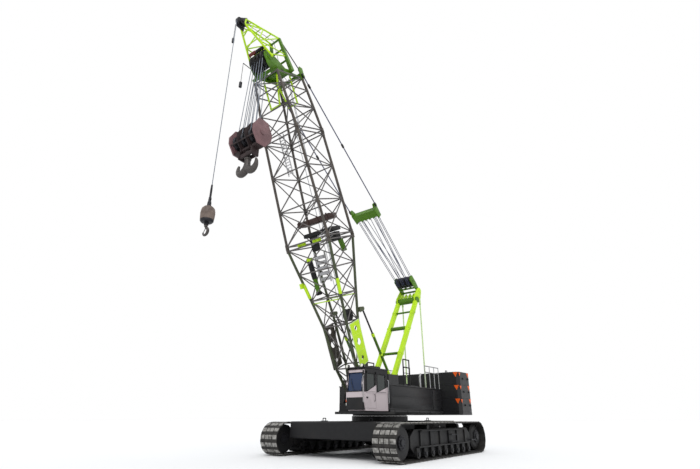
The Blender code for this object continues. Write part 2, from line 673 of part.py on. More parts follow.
def build_boom():
    """The boom's sections, from the foot to the head and its tip extension."""
    bm = bmesh.new()
    add_lattice(bm, BASE_STATIONS)
    foot_side = BASE_STATIONS[0][1]
    for y in (-foot_side, foot_side):
        add_plate(bm, arc((0, 0), 0.17, 90, 270, 8) + [(0.62, -0.22), (0.62, 0.22)], y - 0.09, y + 0.09)
    add_joint_lugs(bm, JOINT_1 - 0.10, JOINT_1_HALF_WIDTH, 1)
    on_boom("boom_base", bm, "chord_paint", fuse=True)

    for side, name in ((1, "left"), (-1, "right")):
        bm = bmesh.new()
        outline = [(1.45, -0.36), (3.55, -0.40), (3.62, 0.42), (1.55, 0.36)]
        low, high = sorted((side * SIDE_PLATE_FACE, side * (SIDE_PLATE_FACE + 0.03)))
        add_plate(bm, outline, low, high)
        on_boom(f"{name}_boom_side_plate", bm, "lime_paint")

    bm = bmesh.new()
    add_lattice(bm, INSERT_STATIONS)
    add_joint_lugs(bm, JOINT_1 + 0.10, JOINT_1_HALF_WIDTH, -1)
    add_joint_lugs(bm, JOINT_2 - 0.10, JOINT_2_HALF_WIDTH, 1)
    on_boom("boom_insert", bm, "chord_paint", fuse=True)

    bm = bmesh.new()
    add_lattice(bm, TOP_STATIONS)
    add_joint_lugs(bm, JOINT_2 + 0.10, JOINT_2_HALF_WIDTH, -1)
    on_boom("boom_top_section", bm, "chord_paint", fuse=True)


def build_boom_head():
    """The head that carries the main sheaves, the post behind it and the lattice tip extension."""
    sheave = HEAD_SHEAVE
    bm = bmesh.new()
    for y in (-0.53, 0.53):
        outline = [(16.42, -1.12), (16.70, -1.30)] + arc((sheave.x, sheave.z), 0.34, 240, 390, 8) + [
            (17.10, -0.45), (16.66, 0.10), (16.60, 0.90), (16.42, 0.90)]
        add_plate(bm, outline, y - 0.022, y + 0.022)
    add_box(bm, (16.42, -0.86, -1.08), (16.54, 0.86, -0.94))
    add_box(bm, (16.42, -0.86, 0.74), (16.56, 0.86, 0.90))
    add_box(bm, (16.60, -0.56, -0.35), (16.75, 0.56, 0.40))
    on_boom("boom_head", bm, "olive_paint", fuse=True)

    bm = bmesh.new()
    add_sheave_stack(bm, SHEAVE_RADIUS, 4, 0.50)
    solid("head_sheaves", bm, "dark_steel", pivot=boom_point(sheave), angle=BOOM_ANGLE, local=True)


def add_sheave_stack(bm, radius, count, half_width):
    """A row of grooved sheaves on one axle, as one turned solid about its own centre."""
    pitch = 2 * half_width / count
    profile = []
    for number in range(count):
        start = -half_width + pitch * number
        for reach, share in ((1.0, 0.06), (1.0, 0.30), (0.86, 0.42), (0.86, 0.58), (1.0, 0.70), (1.0, 0.94)):
            profile.append((radius * reach, start + pitch * share))
    add_turned(bm, (0, 0, 0), profile)


def build_tip_extension():
    """The lattice extension with the auxiliary sheave, the post that holds it up and their links."""
    tip, post = TIP_SHEAVE, POST_TOP
    bm = bmesh.new()
    near = TIP_HALF_WIDTH
    foot_half, head_half = POST_HALF_WIDTHS
    for side in (-1, 1):
        low_start = Vector((17.02, side * 0.75, -1.02))
        low_end = Vector((tip.x - 0.10, side * near, tip.z + 0.10))
        post_foot = Vector((16.62, side * foot_half, 0.30))
        post_head = Vector((post.x, side * head_half, post.z))
        crown = Vector((tip.x + 0.18, side * near, tip.z + 0.26))
        add_rod(bm, low_start, low_end, 0.050, sides=8)
        add_rod(bm, post_foot, post_head, 0.085, sides=6)
        add_rod(bm, post_head, crown, 0.042, sides=8)
        add_rod(bm, low_end, crown, 0.05, sides=6)
        middle_low, middle_high = low_start.lerp(low_end, 0.5), post_head.lerp(crown, 0.5)
        add_rod(bm, low_start.lerp(low_end, 0.08), post_foot.lerp(post_head, 0.45), 0.035, sides=4)
        add_rod(bm, post_foot.lerp(post_head, 0.50), middle_low, 0.034, sides=4)
        add_rod(bm, middle_low, post_head, 0.033, sides=4)
        add_rod(bm, middle_low, middle_high, 0.030, sides=4)
        add_rod(bm, middle_high, low_end, 0.031, sides=4)
        plate = [(-0.30, 0.22), (-0.12, -0.14), (0.12, -0.14), (0.28, 0.34), (0.06, 0.40)]
        add_plate(bm, [(tip.x + along, tip.z + up) for along, up in plate],
                  side * near - 0.02, side * near + 0.02)
    add_rod(bm, (post.x, -head_half, post.z), (post.x, head_half, post.z), 0.045, sides=6)
    add_rod(bm, (tip.x + 0.16, -0.18, tip.z + 0.37), (tip.x + 0.16, 0.18, tip.z + 0.37), 0.035, sides=6)
    on_boom("tip_extension", bm, "lime_paint", fuse=True)

    bm = bmesh.new()
    add_sheave_stack(bm, TIP_SHEAVE_RADIUS, 1, 0.06)
    solid("tip_sheave", bm, "dark_steel", pivot=boom_point(tip), angle=BOOM_ANGLE, local=True)


def on_line(name, bm, finish, reach=0.0, **options):
    """A piece drawn on the lying luffing line, with its pivot at a distance along that line."""
    return solid(name, bm, finish, pivot=line_point(reach), angle=luffing_line()[0], local=True, **options)


def build_luffing_line():
    """The swinging sheave block on the gantry, the bridle and the two pendants to the boom head."""
    bm = bmesh.new()
    for y in (-0.56, 0.56):
        outline = arc((0, 0), 0.15, 100, 260, 6)
        outline += [(0.50, -0.24), (1.12, -0.24), (1.22, 0.0), (1.12, 0.24), (0.50, 0.24)]
        add_plate(bm, outline, y - 0.022, y + 0.022)
    add_rod(bm, (0, -0.595, 0), (0, 0.595, 0), 0.055, sides=10)
    add_box(bm, (0.34, -0.56, 0.10), (0.44, 0.56, 0.16))
    add_box(bm, (0.34, -0.56, -0.16), (0.44, 0.56, -0.10))
    on_line("gantry_sheave_block", bm, "olive_paint", fuse=True)

    bm = bmesh.new()
    profile = []
    for y in (-0.36, 0.0, 0.36):
        profile += [(0.12, y - 0.16), (0.34, y - 0.14), (0.34, y - 0.09), (0.29, y - 0.06), (0.29, y + 0.06),
                    (0.34, y + 0.09), (0.34, y + 0.14), (0.12, y + 0.16)]
    add_turned(bm, (0, 0, 0), profile)
    on_line("gantry_sheaves", bm, "dark_steel", reach=BLOCK_REACH)

    bm = bmesh.new()
    near, far, half = BRIDLE_NEAR - BRIDLE_PIN, BRIDLE_FAR - BRIDLE_PIN, BRIDLE_HALF_WIDTH
    outline = [(near - 0.22, -0.16), (near + 0.02, -0.22), (far, -0.22), (far + 0.06, 0.0), (far, 0.22),
               (near + 0.02, 0.22), (near - 0.22, 0.16)]
    add_plate(bm, outline, -half, half)
    for y in (-half, half):
        outline = [(near - 0.24, -0.17), (far + 0.02, -0.24), (0.10, -0.09), (0.10, 0.09), (far + 0.02, 0.24),
                   (near - 0.24, 0.17)]
        add_plate(bm, outline, y - 0.025, y + 0.025)
        pin_end = math.copysign(PENDANT_SIDE + 0.06, y)
        add_rod(bm, (0.0, y * 0.98, 0.0), (0.0, pin_end, 0.0), 0.045, sides=10)
    on_line("bridle", bm, "olive_paint", reach=BRIDLE_PIN, fuse=True)

    reach = luffing_line()[1] - BRIDLE_PIN
    for side, name in ((1, "left"), (-1, "right")):
        bm = bmesh.new()
        y = side * PENDANT_SIDE
        for x in (0.0, reach):
            outline = [(x - 0.12, -0.07), (x + 0.12, -0.07), (x + 0.12, 0.07), (x - 0.12, 0.07)]
            add_plate(bm, outline, y - 0.030, y + 0.030)
        add_box(bm, (0.05, y - 0.022, -0.038), (reach - 0.05, y + 0.022, 0.038))
        cut = bmesh.new()
        for x in (0.0, reach):
            add_rod(cut, (x, y - 0.2, 0), (x, y + 0.2, 0), 0.051, sides=10)
        on_line(f"{name}_pendant", bm, "dark_steel", reach=BRIDLE_PIN, fuse=True, cutters=cut)


def build_backstops():
    """Two telescopic struts that stop the boom from going over backwards."""
    top = boom_point(STOP_ON_BOOM)
    angle = math.degrees(math.atan2(top.z - STOP_DECK.z, top.x - STOP_DECK.x))
    reach = (top - STOP_DECK).length
    for side, name in ((1, "left"), (-1, "right")):
        y = side * STOP_SIDE
        pivot = Vector((STOP_DECK.x, y, STOP_DECK.z))
        bm = bmesh.new()
        add_rod(bm, (0.0, 0, 0), (2.55, 0, 0), 0.070, sides=12)
        add_rod(bm, (0.0, -0.055, 0), (0.0, 0.055, 0), 0.10, sides=12)
        cut = bmesh.new()
        add_rod(cut, (0.30, 0, 0), (2.75, 0, 0), 0.056, sides=12)
        place_at = {"pivot": pivot, "angle": angle, "local": True, "fuse": True}
        solid(f"{name}_backstop_barrel", bm, "olive_paint", cutters=cut, **place_at)
        bm = bmesh.new()
        add_rod(bm, (0.80, 0, 0), (reach - 0.02, 0, 0), 0.045, sides=12)
        add_rod(bm, (reach, -0.05, 0), (reach, 0.05, 0), 0.085, sides=12)
        solid(f"{name}_backstop_rod", bm, "dark_steel", **place_at)


def add_curved_bar(bm, stations):
    """A tapering bar through (point, radius) stations, as short cones that run into each other."""
    for (start, start_radius), (end, end_radius) in zip(stations, stations[1:]):
        step = (end - start).normalized() * 0.015
        add_rod(bm, start - step, end + step, start_radius, sides=10, end_radius=end_radius)


def build_main_hook():
    """The limit weight below the boom head, the hook block with its sheaves, and the double hook."""
    head = boom_point(HEAD_SHEAVE)
    bm = bmesh.new()
    add_rod(bm, (head.x + 0.50, -0.80, head.z), (head.x + 0.50, -0.80, head.z - 1.30), 0.012, sides=6)
    add_rod(bm, (head.x, -0.80, head.z), (head.x + 0.50, -0.80, head.z), 0.02, sides=6)
    add_rod(bm, (head.x + 0.50, -0.80, head.z - 1.52), (head.x + 0.50, -0.80, head.z - 1.24), 0.075, sides=12)
    solid("main_limit_weight", bm, "dark_steel", pivot=head, fuse=True)

    x, level, half = BLOCK_X, BLOCK_LEVEL, BLOCK_HALF_WIDTH
    bm = bmesh.new()
    for y in (-half, half):
        right = [(0.26, 0.62), (0.54, 0.12), (0.52, -0.20), (0.22, -0.66)]
        left = [(-across, up) for across, up in reversed(right)]
        add_plate(bm, [(x + across, level + up) for across, up in right + left], y - 0.035, y + 0.035)
    add_box(bm, (x - 0.20, -half, level - 0.66), (x + 0.20, half, level - 0.55))
    for across, up in ((-0.19, 0.56), (0.19, 0.56), (-0.42, -0.27), (0.42, -0.27)):
        add_rod(bm, (x + across, -half, level + up), (x + across, half, level + up), 0.035, sides=8)
    add_box(bm, (x - 0.20, -0.46, level - 1.02), (x + 0.20, -0.36, level - 0.56))
    add_box(bm, (x - 0.20, 0.36, level - 1.02), (x + 0.20, 0.46, level - 0.56))
    add_box(bm, (x - 0.17, -0.40, level - 1.00), (x + 0.17, 0.40, level - 0.80))
    cut = bmesh.new()
    add_rod(cut, (x, 0, level - 1.3), (x, 0, level - 0.7), 0.102, sides=16)
    solid("hook_block_frame", bm, "hook_brown", fuse=True, cutters=cut)

    bm = bmesh.new()
    add_sheave_stack(bm, 0.38, 3, half - 0.045)
    solid("block_sheaves", bm, "dark_steel", pivot=(x, 0, level), local=True)

    bm = bmesh.new()
    add_rod(bm, (x, 0, level - 1.10), (x, 0, level - 0.72), 0.095, sides=16)
    add_rod(bm, (x, 0, level - 1.12), (x, 0, level - 1.02), 0.16, sides=16)
    for side in (-1, 1):
        add_curved_bar(bm, [
            (Vector((x, side * across, level + up)), radius) for across, up, radius in DOUBLE_HOOK])
    solid("double_hook", bm, "hook_steel", pivot=(x, 0, level - 1.0), fuse=True)


def build_auxiliary_hook():
    """The limit weight below the tip sheave, and the ball with its swivel and hook."""
    tip = boom_point(TIP_SHEAVE)
    bm = bmesh.new()
    x = tip.x + 0.10
    add_rod(bm, (x, -0.26, tip.z), (x, -0.26, tip.z - 1.00), 0.010, sides=6)
    add_rod(bm, (x, -0.26, tip.z - 1.20), (x, -0.26, tip.z - 0.96), 0.06, sides=12)
    solid("auxiliary_limit_weight", bm, "dark_steel", pivot=tip, fuse=True)

    x, level = tip.x + ROPE_SHARE * TIP_SHEAVE_RADIUS, BALL_LEVEL
    bm = bmesh.new()
    ball = [(0.10, -0.36), (0.20, -0.34), (0.27, -0.20), (0.29, -0.02), (0.27, 0.14), (0.18, 0.28),
            (0.09, 0.33)]
    profile = ball + [(0.06, 0.50), (0.045, 1.05), (0.045, 1.30)]
    add_turned(bm, (x, 0, level), profile, axis="Z", sides=20)
    solid("auxiliary_ball", bm, "hook_brown", pivot=(x, 0, level))

    bm = bmesh.new()
    add_rod(bm, (x, 0, level - 0.52), (x, 0, level - 0.366), 0.07, sides=12)
    add_curved_bar(bm, [(Vector((x, across, level + up)), radius) for across, up, radius in SINGLE_HOOK])
    solid("auxiliary_hook", bm, "hook_steel", pivot=(x, 0, level - 0.4), fuse=True)


def main():
    """Builds the whole crane."""
    clear_scene()
    build_undercarriage()
    build_upper_frame()
    build_houses()
    build_counterweight()
    build_gantry()
    build_cab()
    build_boom()
    build_boom_head()
    build_tip_extension()
    build_luffing_line()
    build_backstops()
    build_main_hook()
    build_auxiliary_hook()
    build_winches()


main()
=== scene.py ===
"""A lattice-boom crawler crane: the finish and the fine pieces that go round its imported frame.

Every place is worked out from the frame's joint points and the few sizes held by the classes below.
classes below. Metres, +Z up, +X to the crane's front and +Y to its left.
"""

import json
import logging
import math
from dataclasses import dataclass
from enum import Enum

import bmesh
import bpy
from mathutils import Matrix, Vector

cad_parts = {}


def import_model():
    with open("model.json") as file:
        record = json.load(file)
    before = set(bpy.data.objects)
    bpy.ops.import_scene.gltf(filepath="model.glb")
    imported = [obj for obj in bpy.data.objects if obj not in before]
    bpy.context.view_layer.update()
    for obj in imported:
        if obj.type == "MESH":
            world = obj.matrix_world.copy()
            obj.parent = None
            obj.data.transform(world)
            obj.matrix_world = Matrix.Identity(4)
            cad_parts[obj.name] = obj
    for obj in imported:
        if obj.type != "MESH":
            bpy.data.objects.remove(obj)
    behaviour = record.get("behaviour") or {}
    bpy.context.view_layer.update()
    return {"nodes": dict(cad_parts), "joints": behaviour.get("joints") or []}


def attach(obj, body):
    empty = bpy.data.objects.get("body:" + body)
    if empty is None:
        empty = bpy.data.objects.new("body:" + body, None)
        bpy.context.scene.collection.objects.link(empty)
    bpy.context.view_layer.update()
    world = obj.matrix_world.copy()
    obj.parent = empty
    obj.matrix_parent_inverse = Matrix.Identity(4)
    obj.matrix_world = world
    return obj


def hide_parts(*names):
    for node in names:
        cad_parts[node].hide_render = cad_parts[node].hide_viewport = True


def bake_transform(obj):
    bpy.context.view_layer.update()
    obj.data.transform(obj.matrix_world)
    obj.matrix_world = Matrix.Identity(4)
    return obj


LOG = logging.getLogger("crawler_crane")
Colour = tuple[float, float, float]


def linear(red: int, green: int, blue: int) -> Colour:
    """A colour given in display values from 0 to 255, as the linear values that shaders take."""

    def channel(value: int) -> float:
        """One channel's linear value."""
        share = value / 255
        return share / 12.92 if share <= 0.04045 else ((share + 0.055) / 1.055) ** 2.4

    return channel(red), channel(green), channel(blue)


# ------------------------------------------------------------------ finishes

@dataclass(frozen=True)
class Finish:
    """A surface: its base colour, the stains over it, and how it shines.

    Attributes:
        name: The material's name.
        colour: The clean surface.
        stain: What shows where the surface is dirty or worn.
        roughness: The middle of its roughness.
        metallic: 1 for bare metal.
        stained: The share of the surface that the stain takes, from 0 to 1.
        patch: How many stains there are to a metre.
        grain: How many bumps there are to a metre.
        bump: How deep the bumps look.
        coat: The strength of a clear coat.
    """

    name: str
    colour: Colour
    stain: Colour
    roughness: float
    metallic: float = 0.0
    stained: float = 0.3
    patch: float = 1.3
    grain: float = 30.0
    bump: float = 0.06
    coat: float = 0.0

    def material(self) -> bpy.types.Material:
        """The finish as a node material, made on first use."""
        found = bpy.data.materials.get(f"finish_{self.name}")
        if found:
            return found
        made = bpy.data.materials.new(f"finish_{self.name}")
        made.use_nodes = True
        nodes, links = made.node_tree.nodes, made.node_tree.links
        shader = nodes["Principled BSDF"]
        shader.inputs["Metallic"].default_value = self.metallic
        shader.inputs["Coat Weight"].default_value = self.coat
        shader.inputs["Specular IOR Level"].default_value = 0.3
        place = nodes.new("ShaderNodeTexCoord")

        def noise(scale: float, detail: float) -> bpy.types.NodeSocket:
            """A noise over the piece, from 0 to 1."""
            made_noise = nodes.new("ShaderNodeTexNoise")
            made_noise.inputs["Scale"].default_value = scale
            made_noise.inputs["Detail"].default_value = detail
            links.new(place.outputs["Object"], made_noise.inputs["Vector"])
            return made_noise.outputs["Fac"]

        ramp = nodes.new("ShaderNodeValToRGB")
        ramp.color_ramp.elements[0].position = 0.62 - 0.35 * self.stained
        ramp.color_ramp.elements[0].color = (*self.colour, 1.0)
        ramp.color_ramp.elements[1].position = 0.95 - 0.25 * self.stained
        ramp.color_ramp.elements[1].color = (*self.stain, 1.0)
        links.new(noise(self.patch, 9.0), ramp.inputs["Fac"])
        links.new(ramp.outputs["Color"], shader.inputs["Base Color"])

        spread = nodes.new("ShaderNodeMapRange")
        spread.inputs["To Min"].default_value = max(0.02, self.roughness - 0.10)
        spread.inputs["To Max"].default_value = min(1.0, self.roughness + 0.14)
        links.new(noise(self.patch * 4, 6.0), spread.inputs["Value"])
        links.new(spread.outputs["Result"], shader.inputs["Roughness"])

        bump = nodes.new("ShaderNodeBump")
        bump.inputs["Strength"].default_value = self.bump
        bump.inputs["Distance"].default_value = 0.01
        links.new(noise(self.grain, 4.0), bump.inputs["Height"])
        links.new(bump.outputs["Normal"], shader.inputs["Normal"])
        return made


@dataclass(frozen=True)
class Glass:
    """A tinted pane that lets some of the cab show through."""

    name: str
    tint: Colour
    clear: float = 0.35

    def material(self) -> bpy.types.Material:
        """The pane as a node material, made on first use."""
        found = bpy.data.materials.get(f"finish_{self.name}")
        if found:
            return found
        made = bpy.data.materials.new(f"finish_{self.name}")
        made.use_nodes = True
        nodes, links = made.node_tree.nodes, made.node_tree.links
        shader = nodes["Principled BSDF"]
        shader.inputs["Roughness"].default_value = 0.06
        shader.inputs["Transmission Weight"].default_value = self.clear
        shader.inputs["IOR"].default_value = 1.45
        place = nodes.new("ShaderNodeTexCoord")
        cloud = nodes.new("ShaderNodeTexNoise")
        cloud.inputs["Scale"].default_value = 1.1
        ramp = nodes.new("ShaderNodeValToRGB")
        ramp.color_ramp.elements[0].color = (*(0.8 * part for part in self.tint), 1.0)
        ramp.color_ramp.elements[1].color = (*(1.25 * part for part in self.tint), 1.0)
        links.new(place.outputs["Object"], cloud.inputs["Vector"])
        links.new(cloud.outputs["Fac"], ramp.inputs["Fac"])
        links.new(ramp.outputs["Color"], shader.inputs["Base Color"])
        return made


LIME = Finish("lime_paint", linear(186, 226, 30), linear(134, 166, 34), 0.42, stained=0.25)
PALE_LIME = Finish("pale_lime_paint", linear(200, 224, 160), linear(150, 170, 120), 0.45, stained=0.25)
OLIVE = Finish("olive_paint", linear(74, 118, 8), linear(48, 66, 16), 0.48, stained=0.4)
CHORD = Finish("chord_paint", linear(80, 74, 68), linear(48, 44, 42), 0.50, stained=0.45)
CHORD_GREEN = Finish("chord_green", linear(70, 78, 54), linear(44, 46, 40), 0.50, stained=0.5)
LACING = Finish("lacing_paint", linear(98, 94, 92), linear(58, 56, 58), 0.50, stained=0.4)
CHARCOAL = Finish("charcoal_paint", linear(30, 30, 32), linear(44, 43, 42), 0.42, stained=0.25)
BLACK = Finish("frame_black", linear(18, 18, 20), linear(36, 34, 32), 0.55, stained=0.35)
SILVER = Finish("silver_paint", linear(190, 178, 180), linear(150, 138, 138), 0.40, stained=0.2)
# The pads' bright shoe steel is partly their wear and partly a painted highlight; the shoe plate is the same
# steel darkened about fourfold, as painted shade between the pads.
SHOE = Finish("shoe_steel", linear(168, 166, 162), linear(52, 50, 48), 0.42, 0.7, stained=0.75, patch=7.0)
SHOE_PLATE_SHADED = Finish("shoe_plate_shaded", linear(40, 39, 38), linear(66, 63, 60), 0.6, 0.3, stained=0.5, patch=5.0)
DARK_STEEL = Finish("dark_steel", linear(44, 44, 48), linear(28, 26, 26), 0.45, 0.6, stained=0.4)
BARE_STEEL = Finish("bare_steel", linear(168, 168, 170), linear(120, 116, 112), 0.32, 0.9, stained=0.3)
ROPE = Finish("wire_rope", linear(112, 118, 128), linear(78, 80, 84), 0.45, 0.5, patch=6.0, grain=90.0,
              bump=0.3)
DARK_ROPE = Finish("dark_rope", linear(66, 72, 98), linear(40, 42, 60), 0.45, 0.3, patch=6.0, grain=90.0,
                   bump=0.3)
GREEN_PANE = Glass("green_glass", linear(20, 34, 32), 0.25)
# The hook block's brown darkened to about two fifths, as painted shade on the inner plates and crossheads
# between and under the outer plates.
HOOK_BROWN_SHADED = Finish("hook_brown_shaded", linear(50, 38, 38), linear(32, 26, 26), 0.6, stained=0.5, patch=2.0)
HOOK_BROWN = Finish("hook_brown", linear(120, 90, 92), linear(84, 62, 64), 0.55, stained=0.5, patch=2.0)
HOOK_STEEL = Finish("hook_steel", linear(84, 80, 78), linear(52, 48, 46), 0.50, 0.5, stained=0.5, patch=2.5)
ORANGE = Finish("orange_paint", linear(232, 96, 24), linear(190, 84, 34), 0.42, stained=0.2)
VINYL = Finish("seat_vinyl", linear(44, 44, 46), linear(60, 58, 56), 0.62, patch=4.0, grain=160.0, bump=0.2)
RUBBER = Finish("black_rubber", linear(28, 28, 29), linear(50, 48, 46), 0.75, patch=3.0, grain=80.0)
PANE = Glass("cab_glass", linear(24, 50, 88), 0.25)
LENS = Glass("lamp_lens", linear(228, 228, 218), 0.1)
DECK_BROWN = Finish("deck_brown", linear(70, 52, 48), linear(48, 40, 38), 0.6, stained=0.5)
BALL = Finish("ball_paint", linear(116, 102, 94), linear(64, 54, 50), 0.55, stained=0.45, patch=3.0)
ROLLER_RED = Finish("roller_red", linear(96, 34, 30), linear(60, 30, 28), 0.5)

NODE_FINISHES: dict[str, Finish | Glass] = {
    "track": SHOE, "crawler_frame": BLACK, "idler": BLACK, "sprocket_drive": BLACK,
    "carbody": BLACK, "slew_ring": BLACK, "ballast": BLACK, "upper_frame": BLACK, "house": CHARCOAL,
    "tray": BLACK, "counterweight": CHARCOAL, "gantry": LIME, "sheave_block": OLIVE, "winch_bed": BLACK,
    "cab_shell": SILVER, "windscreen": PANE, "window": GREEN_PANE, "seat": VINYL, "console": VINYL,
    "cab_door": SILVER, "drum": DARK_STEEL, "boom": CHORD, "side_plate": LIME, "boom_head": OLIVE,
    "tip_extension": LIME, "sheave": DARK_STEEL, "bridle": OLIVE, "pendant": CHORD,
    "backstop_barrel": OLIVE, "backstop_rod": DARK_STEEL, "weight": DARK_STEEL,
    "hook_block_frame": HOOK_BROWN, "double_hook": HOOK_STEEL, "auxiliary_ball": HOOK_BROWN,
    "auxiliary_hook": HOOK_STEEL,
}


def dress_nodes(nodes: dict[str, bpy.types.Object]) -> None:
    """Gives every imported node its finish, by the longest of the names above that its own name holds.

    Args:
        nodes: The frame's nodes by name.
    """
    for name, node in nodes.items():
        key = max((key for key in NODE_FINISHES if key in name), key=len)
        material = NODE_FINISHES[key].material()
        for slot in node.material_slots:
            slot.material = material
        if not node.material_slots:
            node.data.materials.append(material)


# ------------------------------------------------------------------ modelling

class Shape:
    """A mesh being modelled in one of the crane's frames, until it becomes a piece."""

    def __init__(self, place: Matrix) -> None:
        """Starts an empty mesh.

        Args:
            place: The frame that its sizes are given in.
        """
        self.mesh = bmesh.new()
        self.place = place

    def box(self, low: tuple, high: tuple, bevel: float = 0.0, segments: int = 2) -> None:
        """Adds a box, with rounded edges if a bevel is given.

        Args:
            low: Its lowest corner.
            high: Its highest corner.
            bevel: The width of the rounding.
            segments: The faces across the rounding.
        """
        low, high = Vector(low), Vector(high)
        matrix = Matrix.Translation((low + high) / 2) @ Matrix.Diagonal((*(high - low), 1.0))
        made = bmesh.ops.create_cube(self.mesh, size=1.0, matrix=matrix)["verts"]
        if bevel:
            edges = list({edge for vert in made for edge in vert.link_edges})
            bmesh.ops.bevel(self.mesh, geom=edges, offset=bevel, offset_type="OFFSET", affect="EDGES",
                            segments=segments, profile=0.5, material=-1)

    def bar(self, start: Vector | tuple, end: Vector | tuple, radius: float, sides: int = 12,
            end_radius: float | None = None, roll: float = 0.0) -> None:
        """Adds a round or many-sided bar between two points.

        Args:
            start: The middle of one end.
            end: The middle of the other end.
            radius: The radius at the start.
            sides: The faces round it.
            end_radius: The radius at the end, if it tapers.
            roll: A turn about its own axis, in degrees.
        """
        start, end = Vector(start), Vector(end)
        along = end - start
        matrix = Matrix.Translation((start + end) / 2) @ along.to_track_quat("Z", "Y").to_matrix().to_4x4()
        matrix = matrix @ Matrix.Rotation(math.radians(roll), 4, "Z")
        bmesh.ops.create_cone(self.mesh, cap_ends=True, segments=sides, radius1=radius,
                              radius2=radius if end_radius is None else end_radius,
                              depth=along.length, matrix=matrix)

    def path(self, points: list, radius: float, sides: int = 10) -> None:
        """Adds a bent bar with a ball at each bend.

        Args:
            points: The corners of its route.
            radius: Its radius.
            sides: The faces round it.
        """
        for start, end in zip(points, points[1:]):
            self.bar(start, end, radius, sides)
        for corner in points[1:-1]:
            bmesh.ops.create_icosphere(self.mesh, subdivisions=2, radius=radius * 1.02,
                                       matrix=Matrix.Translation(Vector(corner)))

    def plate(self, outline: list, low_y: float, high_y: float, bevel: float = 0.0) -> None:
        """Adds a plate that stands in the X and Z directions.

        Args:
            outline: Its (x, z) corners.
            low_y: Its right face.
            high_y: Its left face.
            bevel: The width of the rounding along its rims.
        """
        face = self.mesh.faces.new([self.mesh.verts.new((x, low_y, z)) for x, z in outline])
        made = bmesh.ops.extrude_face_region(self.mesh, geom=[face])["geom"]
        moved = [item for item in made if isinstance(item, bmesh.types.BMVert)]
        bmesh.ops.translate(self.mesh, verts=moved, vec=(0.0, high_y - low_y, 0.0))
        if bevel:
            rims = {edge for vert in moved for edge in vert.link_edges
                    if all(end in moved for end in edge.verts)}
            rims |= set(face.edges)
            bmesh.ops.bevel(self.mesh, geom=list(rims), offset=bevel, offset_type="OFFSET", affect="EDGES",
                            segments=2, profile=0.5, material=-1)

    def turned(self, profile: list, centre: Vector | tuple, axis: str = "Y", steps: int = 32) -> None:
        """Adds a solid turned about an axis.

        Args:
            profile: (radius, distance along the axis) points. An end off the axis is closed to it.
            centre: The point on the axis that the distances start at.
            axis: Y or Z.
            steps: The faces round it.
        """
        centre = Vector(centre)
        profile = [(0.0, profile[0][1]), *profile, (0.0, profile[-1][1])]
        along = Vector((0, 1, 0)) if axis == "Y" else Vector((0, 0, 1))
        verts = [self.mesh.verts.new(centre + Vector((radius, 0, 0)) + along * reach) for radius,
                 reach in profile]
        edges = [self.mesh.edges.new(pair) for pair in zip(verts, verts[1:])]
        bmesh.ops.spin(self.mesh, geom=verts + edges, cent=centre, axis=along, angle=2 * math.pi,
                       steps=steps, use_merge=True)
        bmesh.ops.remove_doubles(self.mesh, verts=self.mesh.verts, dist=1e-5)

    def sweep(self, stations: list, sides: int = 5) -> None:
        """Adds a smooth bar of changing thickness.

        Args:
            stations: (point, radius) pairs along its middle.
            sides: The faces round a quarter of it.
        """
        curve = bpy.data.curves.new("sweep", "CURVE")
        curve.dimensions = "3D"
        curve.bevel_depth = 1.0
        curve.bevel_resolution = sides
        curve.use_fill_caps = True
        curve.resolution_u = 8
        spline = curve.splines.new("BEZIER")
        spline.bezier_points.add(len(stations) - 1)
        for knot, (point, radius) in zip(spline.bezier_points, stations):
            knot.co = Vector(point)
            knot.radius = radius
            knot.handle_left_type = knot.handle_right_type = "AUTO"
        holder = bpy.data.objects.new("sweep", curve)
        mesh = bpy.data.meshes.new_from_object(holder)
        self.mesh.from_mesh(mesh)
        bpy.data.objects.remove(holder)
        bpy.data.meshes.remove(mesh)
        bpy.data.curves.remove(curve)

    def take(self, other: "Shape", turn: Matrix) -> None:
        """Adds another mesh to this one, and ends it.

        Args:
            other: The mesh that is added.
            turn: How it is turned and moved on the way.
        """
        bmesh.ops.transform(other.mesh, matrix=turn, verts=other.mesh.verts)
        mesh = bpy.data.meshes.new("taken")
        other.mesh.to_mesh(mesh)
        other.mesh.free()
        self.mesh.from_mesh(mesh)
        bpy.data.meshes.remove(mesh)

    def hoop(self, ends: tuple[float, float], y: float, low: float, high: float, radius: float,
             sides: int = 10) -> None:
        """Adds a square hoop that stands on two feet, in the X and Z directions.

        Args:
            ends: The places of its feet along X.
            y: Its place along Y.
            low: The level of its feet.
            high: The level of its top.
            radius: Half its thickness.
            sides: The faces round it.
        """
        near, far = ends
        self.path([(near, y, low), (near, y, high), (far, y, high), (far, y, low)], radius, sides)

    def piece(self, name: str, finish: Finish | Glass, body: str, slot: str | None = None,
              stands_for: tuple = (), sharp: float = 35.0) -> bpy.types.Object:
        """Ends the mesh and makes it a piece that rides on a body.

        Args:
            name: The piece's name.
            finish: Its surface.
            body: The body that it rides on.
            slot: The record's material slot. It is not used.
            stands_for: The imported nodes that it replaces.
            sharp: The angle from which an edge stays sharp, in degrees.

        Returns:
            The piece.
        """
        bmesh.ops.recalc_face_normals(self.mesh, faces=self.mesh.faces)
        bmesh.ops.transform(self.mesh, matrix=self.place, verts=self.mesh.verts)
        mesh = bpy.data.meshes.new(name)
        self.mesh.to_mesh(mesh)
        self.mesh.free()
        mesh.shade_smooth()
        mesh.set_sharp_from_angle(angle=math.radians(sharp))
        mesh.materials.append(finish.material())
        made = bpy.data.objects.new(name, mesh)
        bpy.context.scene.collection.objects.link(made)
        if body:
            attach(made, body)
        if stands_for:
            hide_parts(*stands_for)
        LOG.info("%s: %d faces", name, len(mesh.polygons))
        return made


